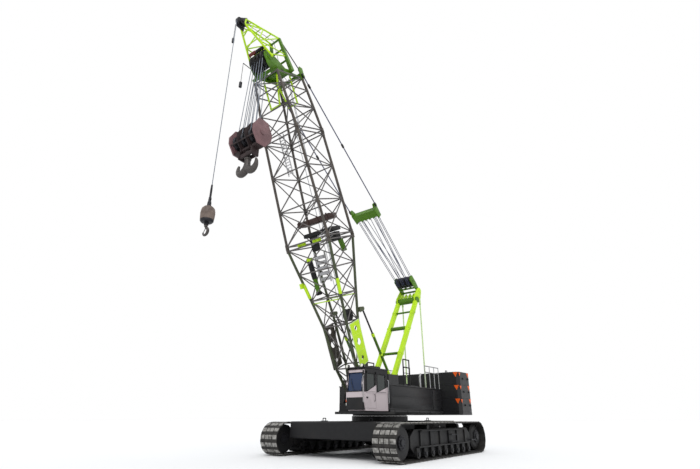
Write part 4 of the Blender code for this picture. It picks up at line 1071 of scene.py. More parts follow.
@dataclass
class Boom(Assembly):
    """The boom's lattice sections, their side plates and what stands inside them."""

    chord: float = 0.066
    brace: float = 0.029
    batten: float = 0.034
    short_panel: float = 1.10
    sections: tuple[Section, ...] = (
        Section("boom_base", ((0.45, 0.56, -0.16, 0.16), (1.50, 0.62, -0.42, 0.42), (3.60, 0.72, -0.47, 0.51),
                              (5.00, 0.93, -0.64, 0.66), (6.40, 1.14, -0.83, 0.83),
                              (7.70, 1.33, -1.00, 1.00))),
        Section("boom_insert", ((7.90, 1.33, -1.0, 1.0), (9.65, 1.265, -1.0, 1.0), (11.40, 1.19, -1.0, 1.0),
                                (13.15, 1.11, -1.0, 1.0))),
        Section("boom_top_section", ((13.35, 1.11, -1.0, 1.0), (14.60, 0.98, -1.0, 0.95),
                                     (15.60, 0.875, -1.0, 0.90), (16.30, 0.80, -1.0, 0.84))),
    )

    def section(self, section: Section) -> None:
        """Builds one section with crossed braces in its longer panels, one brace in each shorter panel, and
        pin lugs at its ends.
        """
        chords, laces, lugs = self.shapes(3, self.layout.boom)
        last = len(section.stations) - 1
        for number in range(last):
            near, far = section.corners(number), section.corners(number + 1)
            for corner in range(4):
                chords.bar(near[corner], far[corner], self.chord, 20)
                following = (corner + 1) % 4
                pairs = [(near[corner], far[following]), (near[following], far[corner])]
                if far[corner].x - near[corner].x < self.short_panel:
                    pairs = pairs[(number + corner) % 2:][:1]
                for one, other in pairs:
                    laces.bar(one, other, self.brace, 12)
                    for share in (0.045, 0.955):
                        middle = one.lerp(other, share)
                        laces.bar(middle, middle.lerp(other if share < 0.5 else one, 0.02),
                                  self.brace * 1.35, 12)
        for number in range(last + 1):
            ring = section.corners(number)
            for corner in range(4):
                laces.bar(ring[corner], ring[(corner + 1) % 4], self.batten, 12)
                bmesh.ops.create_icosphere(chords.mesh, subdivisions=2, radius=self.chord * 1.03,
                                           matrix=Matrix.Translation(ring[corner]))
            if number in (0, last) or number == last // 2:
                laces.bar(ring[0], ring[2], self.brace, 12)
        for number, direction in ((0, -1), (last, 1)):
            if (section.name, number) in (("boom_base", 0), ("boom_top_section", last)):
                continue
            for corner in section.corners(number):
                lugs.box(corner + Vector((-0.12, -0.055, -0.080)), corner + Vector((0.085, 0.055, 0.080))
                         if direction > 0 else corner + Vector((0.12, 0.055, 0.080)), 0.014, 1)
                middle = corner + Vector((direction * 0.06, 0, 0))
                lugs.bar(middle - Vector((0, 0.085, 0)), middle + Vector((0, 0.085, 0)), 0.042, 16)
                lugs.bar(middle - Vector((0, 0.062, 0)), middle + Vector((0, 0.062, 0)), 0.070, 20)
        if section.name == "boom_base":
            for side in Side:
                y = side.value * section.stations[0][1]
                lugs.bar((0, y - 0.10, 0), (0, y + 0.10, 0), 0.165, 32)
                lugs.plate([(0.0, -0.15), (0.10, -0.17), (0.66, -0.21), (0.72, 0.0), (0.66, 0.21),
                            (0.10, 0.17),
                            (0.0, 0.15)], y - 0.06, y + 0.06, 0.012)
        finish = CHORD_GREEN if section.name == "boom_base" else CHORD
        chords.piece(f"{section.name}_chords", finish, "boom", slot="chord_paint", stands_for=(section.name,))
        laces.piece(f"{section.name}_braces", LACING, "boom", slot="chord_paint")
        lugs.piece(f"{section.name}_lugs", CHORD, "boom")

    def side_plates(self) -> None:
        """Builds the pierced plates along both sides of the base."""
        outline = [(1.45, -0.36), (2.4, -0.385), (3.55, -0.40), (3.62, 0.42), (2.5, 0.39), (1.55, 0.36)]
        for side in Side:
            shape = Shape(self.layout.boom)
            near, far = sorted((side.value * 0.80, side.value * 0.83))
            shape.plate(outline, near, far)
            cutter = Shape(Matrix())
            for along, up, radius in ((1.85, 0.0, 0.10), (2.62, 0.02, 0.16), (3.28, 0.02, 0.12)):
                cutter.bar((along, near - 0.1, up), (along, far + 0.1, up), radius, 28)
            # The right plate, on the far side, takes the dark chord paint instead of its lime as painted
            # shade.
            made = shape.piece(f"{side.word}_pierced_plate", LIME if side is Side.LEFT else CHORD, "boom",
                               slot="lime_paint", stands_for=(f"{side.word}_boom_side_plate",))
            self.cut(made, cutter)
            rims = Shape(self.layout.boom)
            edge = side.value * 0.815
            for start, end in zip(outline, outline[1:] + outline[:1]):
                rims.bar((start[0], edge, start[1]), (end[0], edge, end[1]), 0.020, 8)
            for along in (2.2, 2.98):
                rims.bar((along, edge, -0.36), (along, edge, 0.36), 0.016, 8)
            # The right rims also take the dark chord paint as painted shade.
            rims.piece(f"{side.word}_plate_rims", PALE_LIME if side is Side.LEFT else CHORD, "boom",
                       slot="lime_paint")

    def cut(self, made: bpy.types.Object, cutter: Shape) -> None:
        """Cuts holes drawn in the boom's frame through a piece.

        Args:
            made: The piece.
            cutter: The mesh of the holes.
        """
        bmesh.ops.recalc_face_normals(cutter.mesh, faces=cutter.mesh.faces)
        bmesh.ops.transform(cutter.mesh, matrix=self.layout.boom, verts=cutter.mesh.verts)
        mesh = bpy.data.meshes.new("holes")
        cutter.mesh.to_mesh(mesh)
        cutter.mesh.free()
        holder = bpy.data.objects.new("holes", mesh)
        bpy.context.scene.collection.objects.link(holder)
        modifier = made.modifiers.new("holes", "BOOLEAN")
        modifier.object = holder
        modifier.operation = "DIFFERENCE"
        modifier.solver = "EXACT"
        graph = bpy.context.evaluated_depsgraph_get()
        result = bpy.data.meshes.new_from_object(made.evaluated_get(graph))
        made.modifiers.clear()
        made.data = result
        bpy.data.objects.remove(holder)
        bpy.data.meshes.remove(mesh)

    def machinery(self) -> None:
        """Builds the deck, boxes, cylinders, grilles, ladder and cable reel inside the boom."""
        deck, green, grey, dark = self.shapes(4, self.layout.boom)
        deck.box((8.72, -0.95, -0.30), (8.98, 1.16, 0.35), 0.03)
        for y in (-0.8, -0.2, 0.4, 1.0):
            deck.box((8.66, y - 0.04, -0.34), (9.02, y + 0.04, -0.29), 0.01)
        dark.box((8.10, -0.60, -0.45), (8.30, 1.22, 0.30), 0.03)
        dark.box((7.35, -0.30, -0.40), (8.12, 0.16, -0.28), 0.02)
        dark.box((7.62, 0.62, -0.10), (8.05, 1.12, 0.30), 0.04)
        grey.bar((7.85, -0.10, -0.46), (8.32, 1.20, -0.46), 0.022, 12)
        grey.bar((7.70, -0.20, -0.42), (7.85, 1.16, -0.42), 0.018, 12)
        green.bar((7.05, 0.98, 0.50), (7.65, 0.98, 0.35), 0.13, 24)
        green.bar((5.35, -0.62, -0.30), (6.10, -0.62, -0.34), 0.115, 28)
        dark.bar((6.05, -0.62, -0.34), (6.95, -0.62, -0.40), 0.135, 28)
        dark.bar((5.22, -0.62, -0.29), (5.38, -0.62, -0.30), 0.15, 28)
        for number in range(5):
            low = 5.85 + number * 0.27
            grey.box((low, -0.30, -0.32), (low + 0.17, 0.30, -0.26), 0.012, 1)
            grey.box((low + 0.04, -0.26, -0.345), (low + 0.07, 0.26, -0.32))
        for y in (-0.34, 0.30):
            grey.box((5.75, y, -0.34), (7.30, y + 0.04, -0.24), 0.008, 1)
        for share in range(14):
            along = 11.3 + share * 0.14
            grey.box((along, -0.12, -0.97), (along + 0.035, 0.14, -0.94))
        for y in (-0.15, 0.14):
            grey.box((11.2, y, -0.99), (13.3, y + 0.025, -0.92), 0.004, 1)
        reel_x, reel_z = 3.95, 0.05
        dark.turned([(0.30, -0.02), (0.30, 0.0), (0.12, 0.01), (0.12, 0.15), (0.30, 0.16), (0.30, 0.18)],
                    (reel_x, 0.45, reel_z), "Y", 32)
        dark.bar((reel_x, 0.30, reel_z), (reel_x, 0.75, reel_z), 0.05, 16)
        deck.piece("boom_deck", DECK_BROWN, "boom", slot="hook_brown")
        green.piece("boom_cylinders", OLIVE, "boom")
        grey.piece("boom_ladder", BARE_STEEL, "boom")
        dark.piece("boom_cable_reel", BLACK, "boom")

    def sleeves(self) -> None:
        """Builds the lime sleeves and brackets along the base, and the lime frame inside the top."""
        lime = Shape(self.layout.boom)
        for side, start, end in ((1, 5.10, 5.85), (-1, 5.15, 5.90)):
            near, far = Vector((5.0, side * 0.93, -0.64)), Vector((6.4, side * 1.14, -0.83))
            low, high = (near.lerp(far, (along - 5.0) / 1.4) for along in (start, end))
            lime.bar(low, high, self.chord * 1.25, 20)
        for z in (-0.64, 0.66):
            lime.bar((4.86, -0.90, z * 0.97), (4.86, 0.90, z * 0.97), 0.026, 16)
        lime.box((5.72, -1.16, -0.98), (5.98, -1.02, -0.74), 0.02)
        lime.box((6.92, -0.74, -0.50), (7.12, -0.50, -0.26), 0.03)
        for y in (-0.62, -0.36, 0.36, 0.62):
            lime.box((7.74, y - 0.03, -0.99), (7.92, y + 0.03, -0.70), 0.01)
        for side in Side:
            y = side.value * 0.30
            lime.path([(14.75, y, -0.85), (16.30, side.value * 0.46, -0.70)], 0.045, 16)
            lime.path([(15.1, y, 0.60), (16.45, side.value * 0.46, 0.30)], 0.045, 16)
        lime.bar((14.75, -0.34, -0.85), (14.75, 0.34, -0.85), 0.035, 16)
        lime.bar((15.1, -0.34, 0.60), (15.1, 0.34, 0.60), 0.035, 16)
        lime.piece("boom_sleeves", LIME, "boom")

    def build(self) -> None:
        """Builds everything up to the head."""
        for section in self.sections:
            self.section(section)
        self.side_plates()
        self.machinery()
        self.sleeves()


@dataclass
class Head(Assembly):
    """The boom's head with its sheaves, the post behind it and the tip extension."""

    sheave: tuple[float, float] = HEAD_SHEAVE
    radius: float = 0.42
    half: float = 0.50
    tip: tuple[float, float] = TIP_SHEAVE
    tip_half: float = 0.16
    post: tuple[float, float] = (18.64, 0.42)
    post_halves: tuple[float, float] = (0.68, 0.30)

    def head(self) -> None:
        """Builds the head's plates, cross boxes and sheaves."""
        shape, dark = self.shapes(2, self.layout.boom)
        round_end = [(self.sheave[0] + 0.34 * math.cos(math.radians(angle)),
                      self.sheave[1] + 0.34 * math.sin(math.radians(angle))) for angle in range(240, 391, 15)]
        outline = [(16.42, -1.12), (16.70, -1.30), *round_end, (17.10, -0.45), (16.66, 0.10), (16.60, 0.90),
                   (16.42, 0.90)]
        for side in Side:
            y = side.value * 0.53
            shape.plate(outline, y - 0.022, y + 0.022, 0.006)
            shape.bar((self.sheave[0], y - 0.05, self.sheave[1]),
                      (self.sheave[0], y + 0.05, self.sheave[1]), 0.13, 28)
            for along, up in ((16.66, -0.75), (16.60, -0.30), (16.52, 0.45)):
                dark.bar((along, y - 0.028, up), (along, y + 0.028, up), 0.085, 24)
        shape.box((16.42, -0.86, -1.08), (16.54, 0.86, -0.94), 0.012)
        shape.box((16.42, -0.86, 0.74), (16.56, 0.86, 0.90), 0.012)
        shape.box((16.60, -0.56, -0.35), (16.75, 0.56, 0.40), 0.015)
        for side in Side:
            low, high = sorted((side.value * 0.72, side.value * 0.855))
            shape.box((16.22, low, 0.72), (16.56, high, 0.94), 0.02)
            shape.bar((16.38, side.value * 0.80, 0.83), (16.38, side.value * 0.975, 0.83), 0.045, 24)
        shape.piece("head_plates", OLIVE, "boom", stands_for=("boom_head",))
        dark.piece("head_holes", BLACK, "boom")
        wheels = Shape(self.layout.boom)
        pitch = 2 * self.half / 4
        for number in range(4):
            middle = -self.half + pitch * (number + 0.5)
            rim = self.radius
            half = [(0.10, 0.10), (rim * 0.55, 0.035), (rim * 0.82, 0.06), (rim, 0.085), (rim, 0.065),
                    (rim * 0.89, 0.02), (rim * 0.87, 0.0)]
            wheels.turned(groove(half, middle), (self.sheave[0], 0.0, self.sheave[1]), "Y", 48)
        wheels.bar((self.sheave[0], -0.56, self.sheave[1]), (self.sheave[0], 0.56, self.sheave[1]), 0.075, 24)
        wheels.piece("head_sheave_set", BLACK, "head_sheaves", slot="dark_steel",
                     stands_for=("head_sheaves",))

    def corners(self, sign: int) -> tuple[Vector, Vector, Vector, Vector, Vector]:
        """One side's lower chord from end to end, the post's foot and head, and the tip's crown."""
        tip_x, tip_z = self.tip
        return (Vector((17.02, sign * 0.75, -1.02)),
                Vector((tip_x - 0.10, sign * self.tip_half, tip_z + 0.10)),
                Vector((16.62, sign * self.post_halves[0], 0.30)),
                Vector((self.post[0], sign * self.post_halves[1], self.post[1])),
                Vector((tip_x + 0.18, sign * self.tip_half, tip_z + 0.26)))

    def extension(self) -> None:
        """Builds the post, the tip's lattice, its plates, rollers and sheave."""
        lime, olive, black, red = self.shapes(4, self.layout.boom)
        tip_x, tip_z = self.tip
        for side in Side:
            sign = side.value
            low_start, low_end, foot, head, crown = self.corners(sign)
            lime.bar(low_start, low_end, 0.050, 20)
            olive.bar(foot, head, 0.135, 4, end_radius=0.085, roll=45)
            lime.bar(head, crown, 0.042, 20)
            lime.bar(low_end, crown, 0.050, 16)
            middle_low, middle_high = low_start.lerp(low_end, 0.5), head.lerp(crown, 0.5)
            for one, other in ((low_start.lerp(low_end, 0.08), foot.lerp(head, 0.45)),
                               (foot.lerp(head, 0.50), middle_low), (middle_low, head),
                               (middle_low, middle_high),
                               (middle_high, low_end),
                               (low_start.lerp(low_end, 0.78), head.lerp(crown, 0.78))):
                lime.bar(one, other, 0.030, 12)
            plate = [(-0.30, 0.22), (-0.12, -0.14), (0.12, -0.14), (0.28, 0.34), (0.06, 0.40)]
            black.plate([(tip_x + along, tip_z + up) for along, up in plate],
                        sign * self.tip_half - 0.02, sign * self.tip_half + 0.02, 0.006)
            black.bar(head, (16.52, sign * 0.84, 0.86), 0.026, 12)
            lug = sign * 0.842
            olive.plate([(16.44, 0.70), (16.70, 0.62), (16.92, 0.78), (16.86, 1.00), (16.50, 1.02)],
                        lug - 0.016, lug + 0.016, 0.004)
        low_start, low_end, foot, head, crown = self.corners(1)
        for share in (0.25, 0.55, 0.85):
            for one, radius in ((low_start.lerp(low_end, share), 0.028), (head.lerp(crown, share), 0.026)):
                lime.bar(one, (one.x, -one.y, one.z), radius, 12)
        for share in (0.02, 0.35, 0.68, 0.98):
            one = foot.lerp(head, share)
            olive.bar(one, (one.x, -one.y, one.z), 0.052, 16)
        black.bar((tip_x, -0.22, tip_z), (tip_x, 0.22, tip_z), 0.06, 20)
        black.bar((17.65, -0.30, -1.12), (17.65, 0.30, -1.12), 0.085, 24)
        black.box((17.55, -0.34, -1.10), (17.75, -0.30, -0.85), 0.01)
        black.box((17.55, 0.30, -1.10), (17.75, 0.34, -0.85), 0.01)
        red.bar((17.36, -0.20, -1.58), (17.36, 0.20, -1.58), 0.075, 24)
        for y in (-0.22, 0.22):
            black.bar((17.14, y, -1.36), (17.36, y, -1.58), 0.022, 12)
        lime.piece("tip_lattice", LIME, "boom", stands_for=("tip_extension",))
        olive.piece("head_post", OLIVE, "boom")
        black.piece("tip_plates", BLACK, "boom")
        red.piece("guide_roller", ROLLER_RED, "boom", slot="orange_paint")
        wheel = Shape(self.layout.boom)
        half = [(0.06, 0.055), (0.16, 0.03), (0.21, 0.045), (0.26, 0.06), (0.26, 0.045), (0.225, 0.01)]
        wheel.turned(groove(half, 0.0), (tip_x, 0.0, tip_z), "Y", 40)
        wheel.piece("tip_sheave_wheel", DARK_STEEL, "tip_sheave", stands_for=("tip_sheave",))

    def build(self) -> None:
        """Builds the head and its extension."""
        self.head()
        self.extension()


# ------------------------------------------------------------------ luffing gear

@dataclass
class LuffingGear(Assembly):
    """The sheave block on the gantry, the bridle, the pendants and the backstops."""

    block: float = 0.84
    bridle_near: float = 6.02
    bridle_far: float = 6.36
    pin: float = 6.58
    bridle_half: float = 0.80
    pendant_side: float = 0.92
    reach: float = 14.644
    stop_foot: tuple[float, float] = (0.20, 3.50)
    stop_side: float = 0.86

    def sheaves(self) -> None:
        """Builds the block's plates and its grooved wheels."""
        plates, wheels = self.shapes(2, self.layout.line)
        for y in (-0.56, -0.18, 0.18, 0.56):
            outer = abs(y) > 0.3
            outline = [(0.0, 0.15), (-0.15, 0.0), (0.0, -0.15), (0.50, -0.24), (1.12, -0.24), (1.22, 0.0),
                       (1.12, 0.24), (0.50, 0.24)] if outer else [
                (0.30, -0.10), (1.02, -0.12), (1.10, 0.0), (1.02, 0.12), (0.30, 0.10)]
            plates.plate(outline, y - 0.020, y + 0.020, 0.005)
        plates.bar((0, -0.595, 0), (0, 0.595, 0), 0.060, 24)
        for z in (-0.13, 0.13):
            plates.box((0.34, -0.56, z - 0.03), (0.44, 0.56, z + 0.03), 0.008, 1)
        for y in (-0.36, 0.0, 0.36):
            half = [(0.12, 0.15), (0.20, 0.10), (0.28, 0.12), (0.34, 0.15), (0.34, 0.12), (0.295, 0.07),
                    (0.295, 0.03), (0.33, 0.0)]
            wheels.turned(groove(half, y), (self.block, 0.0, 0.0), "Y", 40)
        wheels.bar((self.block, -0.585, 0), (self.block, 0.585, 0), 0.05, 20)
        plates.piece("block_plates", OLIVE, "luffing_block", stands_for=("gantry_sheave_block",))
        wheels.piece("block_wheels", DARK_STEEL, "gantry_sheaves", stands_for=("gantry_sheaves",))

    def bridle(self) -> None:
        """Builds the bridle's box with its sheaves and end plates."""
        shape, wheels = self.shapes(2, self.layout.line)
        near, far, half = self.bridle_near, self.bridle_far, self.bridle_half
        for z in (-0.20, 0.20):
            shape.plate([(near - 0.10, z - 0.012), (far, z - 0.012), (far, z + 0.012),
                         (near - 0.10, z + 0.012)],
                        -half, half)
        shape.box((far - 0.05, -half, -0.20), (far - 0.01, half, 0.20), 0.008, 1)
        for y in (-half, -0.42, -0.14, 0.14, 0.42, half):
            reach = 0.024 if abs(y) == half else 0.016
            shape.plate([(near - 0.24, -0.17), (far + 0.02, -0.24), (self.pin + 0.10, -0.09),
                         (self.pin + 0.10, 0.09),
                         (far + 0.02, 0.24), (near - 0.24, 0.17)] if abs(y) == half else
                        [(near - 0.22, -0.14), (far, -0.19), (far, 0.19), (near - 0.22, 0.14)],
                        y - reach, y + reach, 0.004)
        for side in Side:
            y = side.value
            shape.bar((self.pin, y * half * 0.98, 0.0), (self.pin, y * (self.pendant_side + 0.06), 0.0),
                      0.045, 20)
        wheels.bar((near, -half, 0.0), (near, half, 0.0), 0.035, 16)
        for y in (-0.61, -0.28, 0.0, 0.28, 0.61):
            wheels.turned(groove([(0.04, 0.05), (0.19, 0.05), (0.16, 0.012)], y), (near, 0.0, 0.0), "Y", 32)
        shape.piece("bridle_box", OLIVE, "bridle", stands_for=("bridle",))
        wheels.piece("bridle_wheels", DARK_STEEL, "bridle")

    def pendants(self) -> None:
        """Builds the two pendant links from flat bars with pinned connectors."""
        for side in Side:
            bars, ends = self.shapes(2, self.layout.line)
            y = side.value * self.pendant_side
            joints = [self.pin, self.pin + 3.9, self.reach - 0.60, self.reach]
            for start, end in zip(joints, joints[1:]):
                bars.box((start + 0.08, y - 0.018, -0.036), (end - 0.08, y + 0.018, 0.036), 0.006, 1)
            for spot in joints:
                ends.plate([(spot - 0.12, -0.05), (spot - 0.08, -0.07), (spot + 0.08, -0.07),
                            (spot + 0.12, -0.05),
                            (spot + 0.12, 0.05), (spot + 0.08, 0.07), (spot - 0.08, 0.07),
                            (spot - 0.12, 0.05)],
                           y - 0.030, y + 0.030, 0.004)
                ends.bar((spot, y - 0.045, 0.0), (spot, y + 0.045, 0.0), 0.040, 20)
            bars.piece(f"{side.word}_pendant_bars", DARK_ROPE, "pendants", slot="wire_rope",
                       stands_for=(f"{side.word}_pendant",))
            ends.piece(f"{side.word}_pendant_ends", BLACK, "pendants", slot="dark_steel")

    def backstops(self) -> None:
        """Dresses the backstops with collars and lime bands."""
        foot = Vector((self.stop_foot[0], 0.0, self.stop_foot[1]))
        top = self.layout.boom_in_slew(BACKSTOP_EYE[0], 0.0, BACKSTOP_EYE[1])
        along = (top - foot).normalized()
        collars = Shape(self.layout.slew)
        for side in Side:
            base = Vector((foot.x, side.value * self.stop_side, foot.z))
            for start, end, radius in ((0.25, 0.42, 0.082), (1.30, 1.40, 0.080), (2.38, 2.55, 0.084)):
                collars.bar(base + along * start, base + along * end, radius, 24)
        collars.piece("backstop_collars", LIME, "backstop_barrels")
        cheeks = Shape(self.layout.boom)
        for side in Side:
            for across in (-0.078, 0.078):
                y = side.value * self.stop_side + across
                cheeks.plate([(3.90, 0.54), (4.18, 0.58), (4.11, 0.94), (4.03, 0.98), (3.95, 0.94)],
                             y - 0.010, y + 0.010)
        cheeks.piece("backstop_cheeks", CHORD_GREEN, "boom", slot="chord_paint")

    def build(self) -> None:
        """Builds all of the gear."""
        self.sheaves()
        self.bridle()
        self.pendants()
        self.backstops()


# ------------------------------------------------------------------ hooks

@dataclass
class Hooks(Assembly):
    """The hook block with its double hook, and the ball with its single hook."""

    block_x: float = 9.86
    level: float = 13.08
    half: float = 0.80
    ball_x: float = 11.40
    ball_level: float = 8.72
    wheels: int = 6
    wheel_pitch: float = 0.264

    def block(self) -> None:
        """Builds the block's plates, its sheaves, the crosshead and the hook."""
        plates, inner, wheels, hook = self.shapes(4)
        x, level = self.block_x, self.level
        half_outline = [(0.26, 0.62), (0.54, 0.12), (0.52, -0.20), (0.22, -0.66)]
        outline = half_outline + [(-across, up) for across, up in reversed(half_outline)]
        for y in (-self.half, -0.27, 0.27, self.half):
            reach = 0.034 if abs(y) == self.half else 0.014
            shape = plates if abs(y) == self.half else inner
            shape.plate([(x + across, level + up) for across, up in outline], y - reach, y + reach, 0.008)
        plates.bar((x, -self.half - 0.06, level), (x, self.half + 0.06, level), 0.13, 32)
        for across, up in ((-0.19, 0.56), (0.19, 0.56), (-0.42, -0.27), (0.42, -0.27)):
            inner.bar((x + across, -self.half - 0.03, level + up), (x + across, self.half + 0.03, level + up),
                       0.035, 20)
        inner.box((x - 0.20, -self.half, level - 0.66), (x + 0.20, self.half, level - 0.55), 0.02)
        for side in Side:
            low, high = sorted((side.value * 0.36, side.value * 0.46))
            inner.box((x - 0.20, low, level - 1.02), (x + 0.20, high, level - 0.56), 0.02)
        inner.box((x - 0.17, -0.40, level - 1.00), (x - 0.105, 0.40, level - 0.80), 0.012)
        inner.box((x + 0.105, -0.40, level - 1.00), (x + 0.17, 0.40, level - 0.80), 0.012)
        for number in range(self.wheels):
            y = -0.66 + self.wheel_pitch * number
            half = [(0.12, 0.09), (0.20, 0.04), (0.31, 0.06), (0.38, 0.09), (0.38, 0.07), (0.335, 0.02),
                    (0.33, 0.0)]
            wheels.turned(groove(half, y), (x, 0.0, level), "Y", 40)
        plates.piece("hook_block_plates", HOOK_BROWN, "hook_block", stands_for=("hook_block_frame",))
        # The inner plates and crossheads take the darkened hook brown as painted shade.
        inner.piece("hook_block_crossheads", HOOK_BROWN_SHADED, "hook_block", slot="hook_brown")
        wheels.piece("hook_block_wheels", DARK_STEEL, "block_sheaves", stands_for=("block_sheaves",))
        hook.bar((x, 0, level - 1.10), (x, 0, level - 0.72), 0.095, 24)
        hook.turned([(0.10, -1.14), (0.15, -1.12), (0.16, -1.06), (0.12, -1.02)], (x, 0, level), "Z", 32)
        hook.bar((x, 0, level - 0.76), (x, 0, level - 0.70), 0.13, 6)
        curve = ((0.00, -1.10, 0.13), (0.02, -1.44, 0.15), (0.15, -1.66, 0.165), (0.36, -1.72, 0.155),
                 (0.54, -1.62, 0.12), (0.60, -1.42, 0.085), (0.56, -1.24, 0.05))
        for side in Side:
            hook.sweep([((x, side.value * across, level + up), radius) for across, up, radius in curve])
        hook.piece("double_hook_forging", HOOK_STEEL, "double_hook", stands_for=("double_hook",))

    def ball(self) -> None:
        """Builds the ball with its socket and hook."""
        ball, socket, hook = self.shapes(3)
        x, level = self.ball_x, self.ball_level
        ball.turned([(0.20, -0.26), (0.256, -0.24), (0.268, -0.10), (0.268, -0.02), (0.274, -0.01),
                     (0.274, 0.03),
                     (0.268, 0.04), (0.266, 0.12), (0.24, 0.22), (0.17, 0.30), (0.08, 0.33)],
                    (x, 0, level), "Z", 40)
        socket.turned([(0.10, -0.36), (0.21, -0.34), (0.250, -0.29), (0.250, -0.24)], (x, 0, level), "Z", 40)
        socket.turned([(0.085, 0.28), (0.075, 0.50), (0.055, 0.56), (0.055, 0.70), (0.042, 0.74),
                       (0.042, 1.05),
                       (0.034, 1.28)], (x, 0, level), "Z", 28)
        socket.bar((x, -0.07, level + 0.63), (x, 0.07, level + 0.63), 0.03, 16)
        socket.bar((x, 0, level - 0.46), (x, 0, level - 0.34), 0.085, 24)
        hook.bar((x, 0, level - 0.52), (x, 0, level - 0.40), 0.065, 24)
        curve = ((0.00, -0.46, 0.05), (0.02, -0.56, 0.05), (0.13, -0.64, 0.055), (0.16, -0.76, 0.055),
                 (0.07, -0.86, 0.05), (-0.07, -0.84, 0.04), (-0.13, -0.74, 0.025))
        hook.sweep([((x, across, level + up), radius) for across, up, radius in curve])
        hook.bar((x, -0.15, level - 0.78), (x, 0.02, level - 0.57), 0.014, 12)
        ball.piece("ball_weight", BALL, "auxiliary_ball", slot="hook_brown", stands_for=("auxiliary_ball",))
        socket.piece("ball_socket", DARK_STEEL, "auxiliary_ball")
        hook.piece("ball_hook", HOOK_STEEL, "auxiliary_hook", stands_for=("auxiliary_hook",))

    def build(self) -> None:
        """Builds both hooks."""
        self.block()
        self.ball()


# ------------------------------------------------------------------ ropes

@dataclass
class Ropes(Assembly):
    """The falls of both hooks, the luffing falls, the ropes along the boom and on the drums."""

    falls: int = 10
    rope: float = 0.017
    boom_rope: float = 0.013
    drums: tuple[tuple[str, float, float, float], ...] = (  # name, x, z, radius
        ("main_drum", -1.05, 2.90, 0.34),
        ("auxiliary_drum", -2.20, 2.90, 0.34),
        ("luffing_drum", -3.25, 2.84, 0.28),
    )
    turns: int = 25
    drum_half: float = 0.40

    def fall(self, name: str, start: Vector, end: Vector, bodies: tuple[str, str], radius: float,
             finish: Finish = ROPE) -> None:
        """Adds one straight rope between two bodies that a slide joins.

        Args:
            name: The piece's name.
            start: Its end on the first body, counted from the slew axis.
            end: Its end on the second body.
            bodies: The two bodies. Not used.
            radius: Half its thickness.
            finish: Its surface.
        """
        shape = Shape(self.layout.slew)
        shape.bar(start, end, radius, 10)
        made = shape.piece(name, finish, "", slot="wire_rope")
        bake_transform(made)

    def main_falls(self, hooks: Hooks) -> None:
        """Adds the main hook's falls from the head's sheaves to the block's."""
        head = self.layout.boom_in_slew(HEAD_SHEAVE[0], 0.0, HEAD_SHEAVE[1])
        for number in range(self.falls):
            share = number / (self.falls - 1)
            front = 0.30 if number % 2 else -0.04
            start = Vector((head.x + front, -0.42 + 0.84 * share, head.z - 0.10))
            end = Vector((hooks.block_x + front, -0.66 + 1.32 * share, hooks.level + 0.06))
            self.fall(f"main_fall_{number + 1}", start, end, ("main_fall", "hook_block"), self.rope)

    def auxiliary_rope(self, hooks: Hooks) -> None:
        """Adds the single rope from the tip sheave to the ball."""
        tip = self.layout.boom_in_slew(TIP_SHEAVE[0], 0.0, TIP_SHEAVE[1])
        self.fall("auxiliary_rope", Vector((hooks.ball_x, 0.0, tip.z)),
                  Vector((hooks.ball_x, 0.0, hooks.ball_level + 1.26)),
                  ("auxiliary_fall", "auxiliary_ball"), 0.016)

    def luffing_falls(self, gear: LuffingGear) -> None:
        """Adds the luffing falls between the gantry's block and the bridle."""
        to_slew = self.layout.slew.inverted() @ self.layout.line
        grooves = (-0.41, -0.31, -0.05, 0.05, 0.31, 0.41)
        spread = (-0.64, -0.56, -0.26, 0.26, 0.56, 0.64)
        for number, (low, high) in enumerate(zip(grooves, spread)):
            for name, up in (("upper", 1), ("lower", -1)):
                start = to_slew @ Vector((gear.block, low, up * 0.315))
                end = to_slew @ Vector((gear.bridle_near, high, up * 0.17))
                self.fall(f"luffing_fall_{name}_{number + 1}", start, end, ("luffing_block", "bridle"), 0.018,
                          DARK_ROPE)

    def boom_ropes(self) -> None:
        """Adds the hoist ropes that lie along the boom, from its foot to its head."""
        shape = Shape(self.layout.boom)
        for y, start_z, end_z in ((0.12, 0.30, 0.50), (-0.12, 0.34, 0.44), (0.34, 0.20, 0.30)):
            shape.bar((1.2, y * 0.6, start_z), (16.35, y, end_z), self.boom_rope, 8)
        shape.bar((16.35, 0.12, 0.50), (17.30, 0.12, -0.64), self.boom_rope, 8)
        shape.bar((16.35, -0.12, 0.44), (18.60, 0.0, 0.30), self.boom_rope, 8)
        shape.bar((18.60, 0.0, 0.30), (19.00, 0.0, -1.62), self.boom_rope, 8)
        shape.piece("boom_ropes", ROPE, "boom")

    def drum_ropes(self) -> None:
        """Adds the wound ropes on the three drums."""
        for name, x, z, radius in self.drums:
            shape = Shape(self.layout.slew)
            profile = [(radius, -self.drum_half)]
            for number in range(self.turns):
                start = -self.drum_half + 2 * self.drum_half * number / self.turns
                profile += [(radius + 0.012, start + 0.004), (radius + 0.022, start + 0.016),
                            (radius + 0.012, start + 0.028)]
            profile.append((radius, self.drum_half))
            shape.turned(profile, (x, 0.0, z), "Y", 40)
            shape.piece(f"{name}_rope", ROPE, name)

    def build(self, hooks: Hooks, gear: LuffingGear) -> None:
        """Adds every rope."""
        self.main_falls(hooks)
        self.auxiliary_rope(hooks)
        self.luffing_falls(gear)
        self.boom_ropes()
        self.drum_ropes()


# ------------------------------------------------------------------ studio

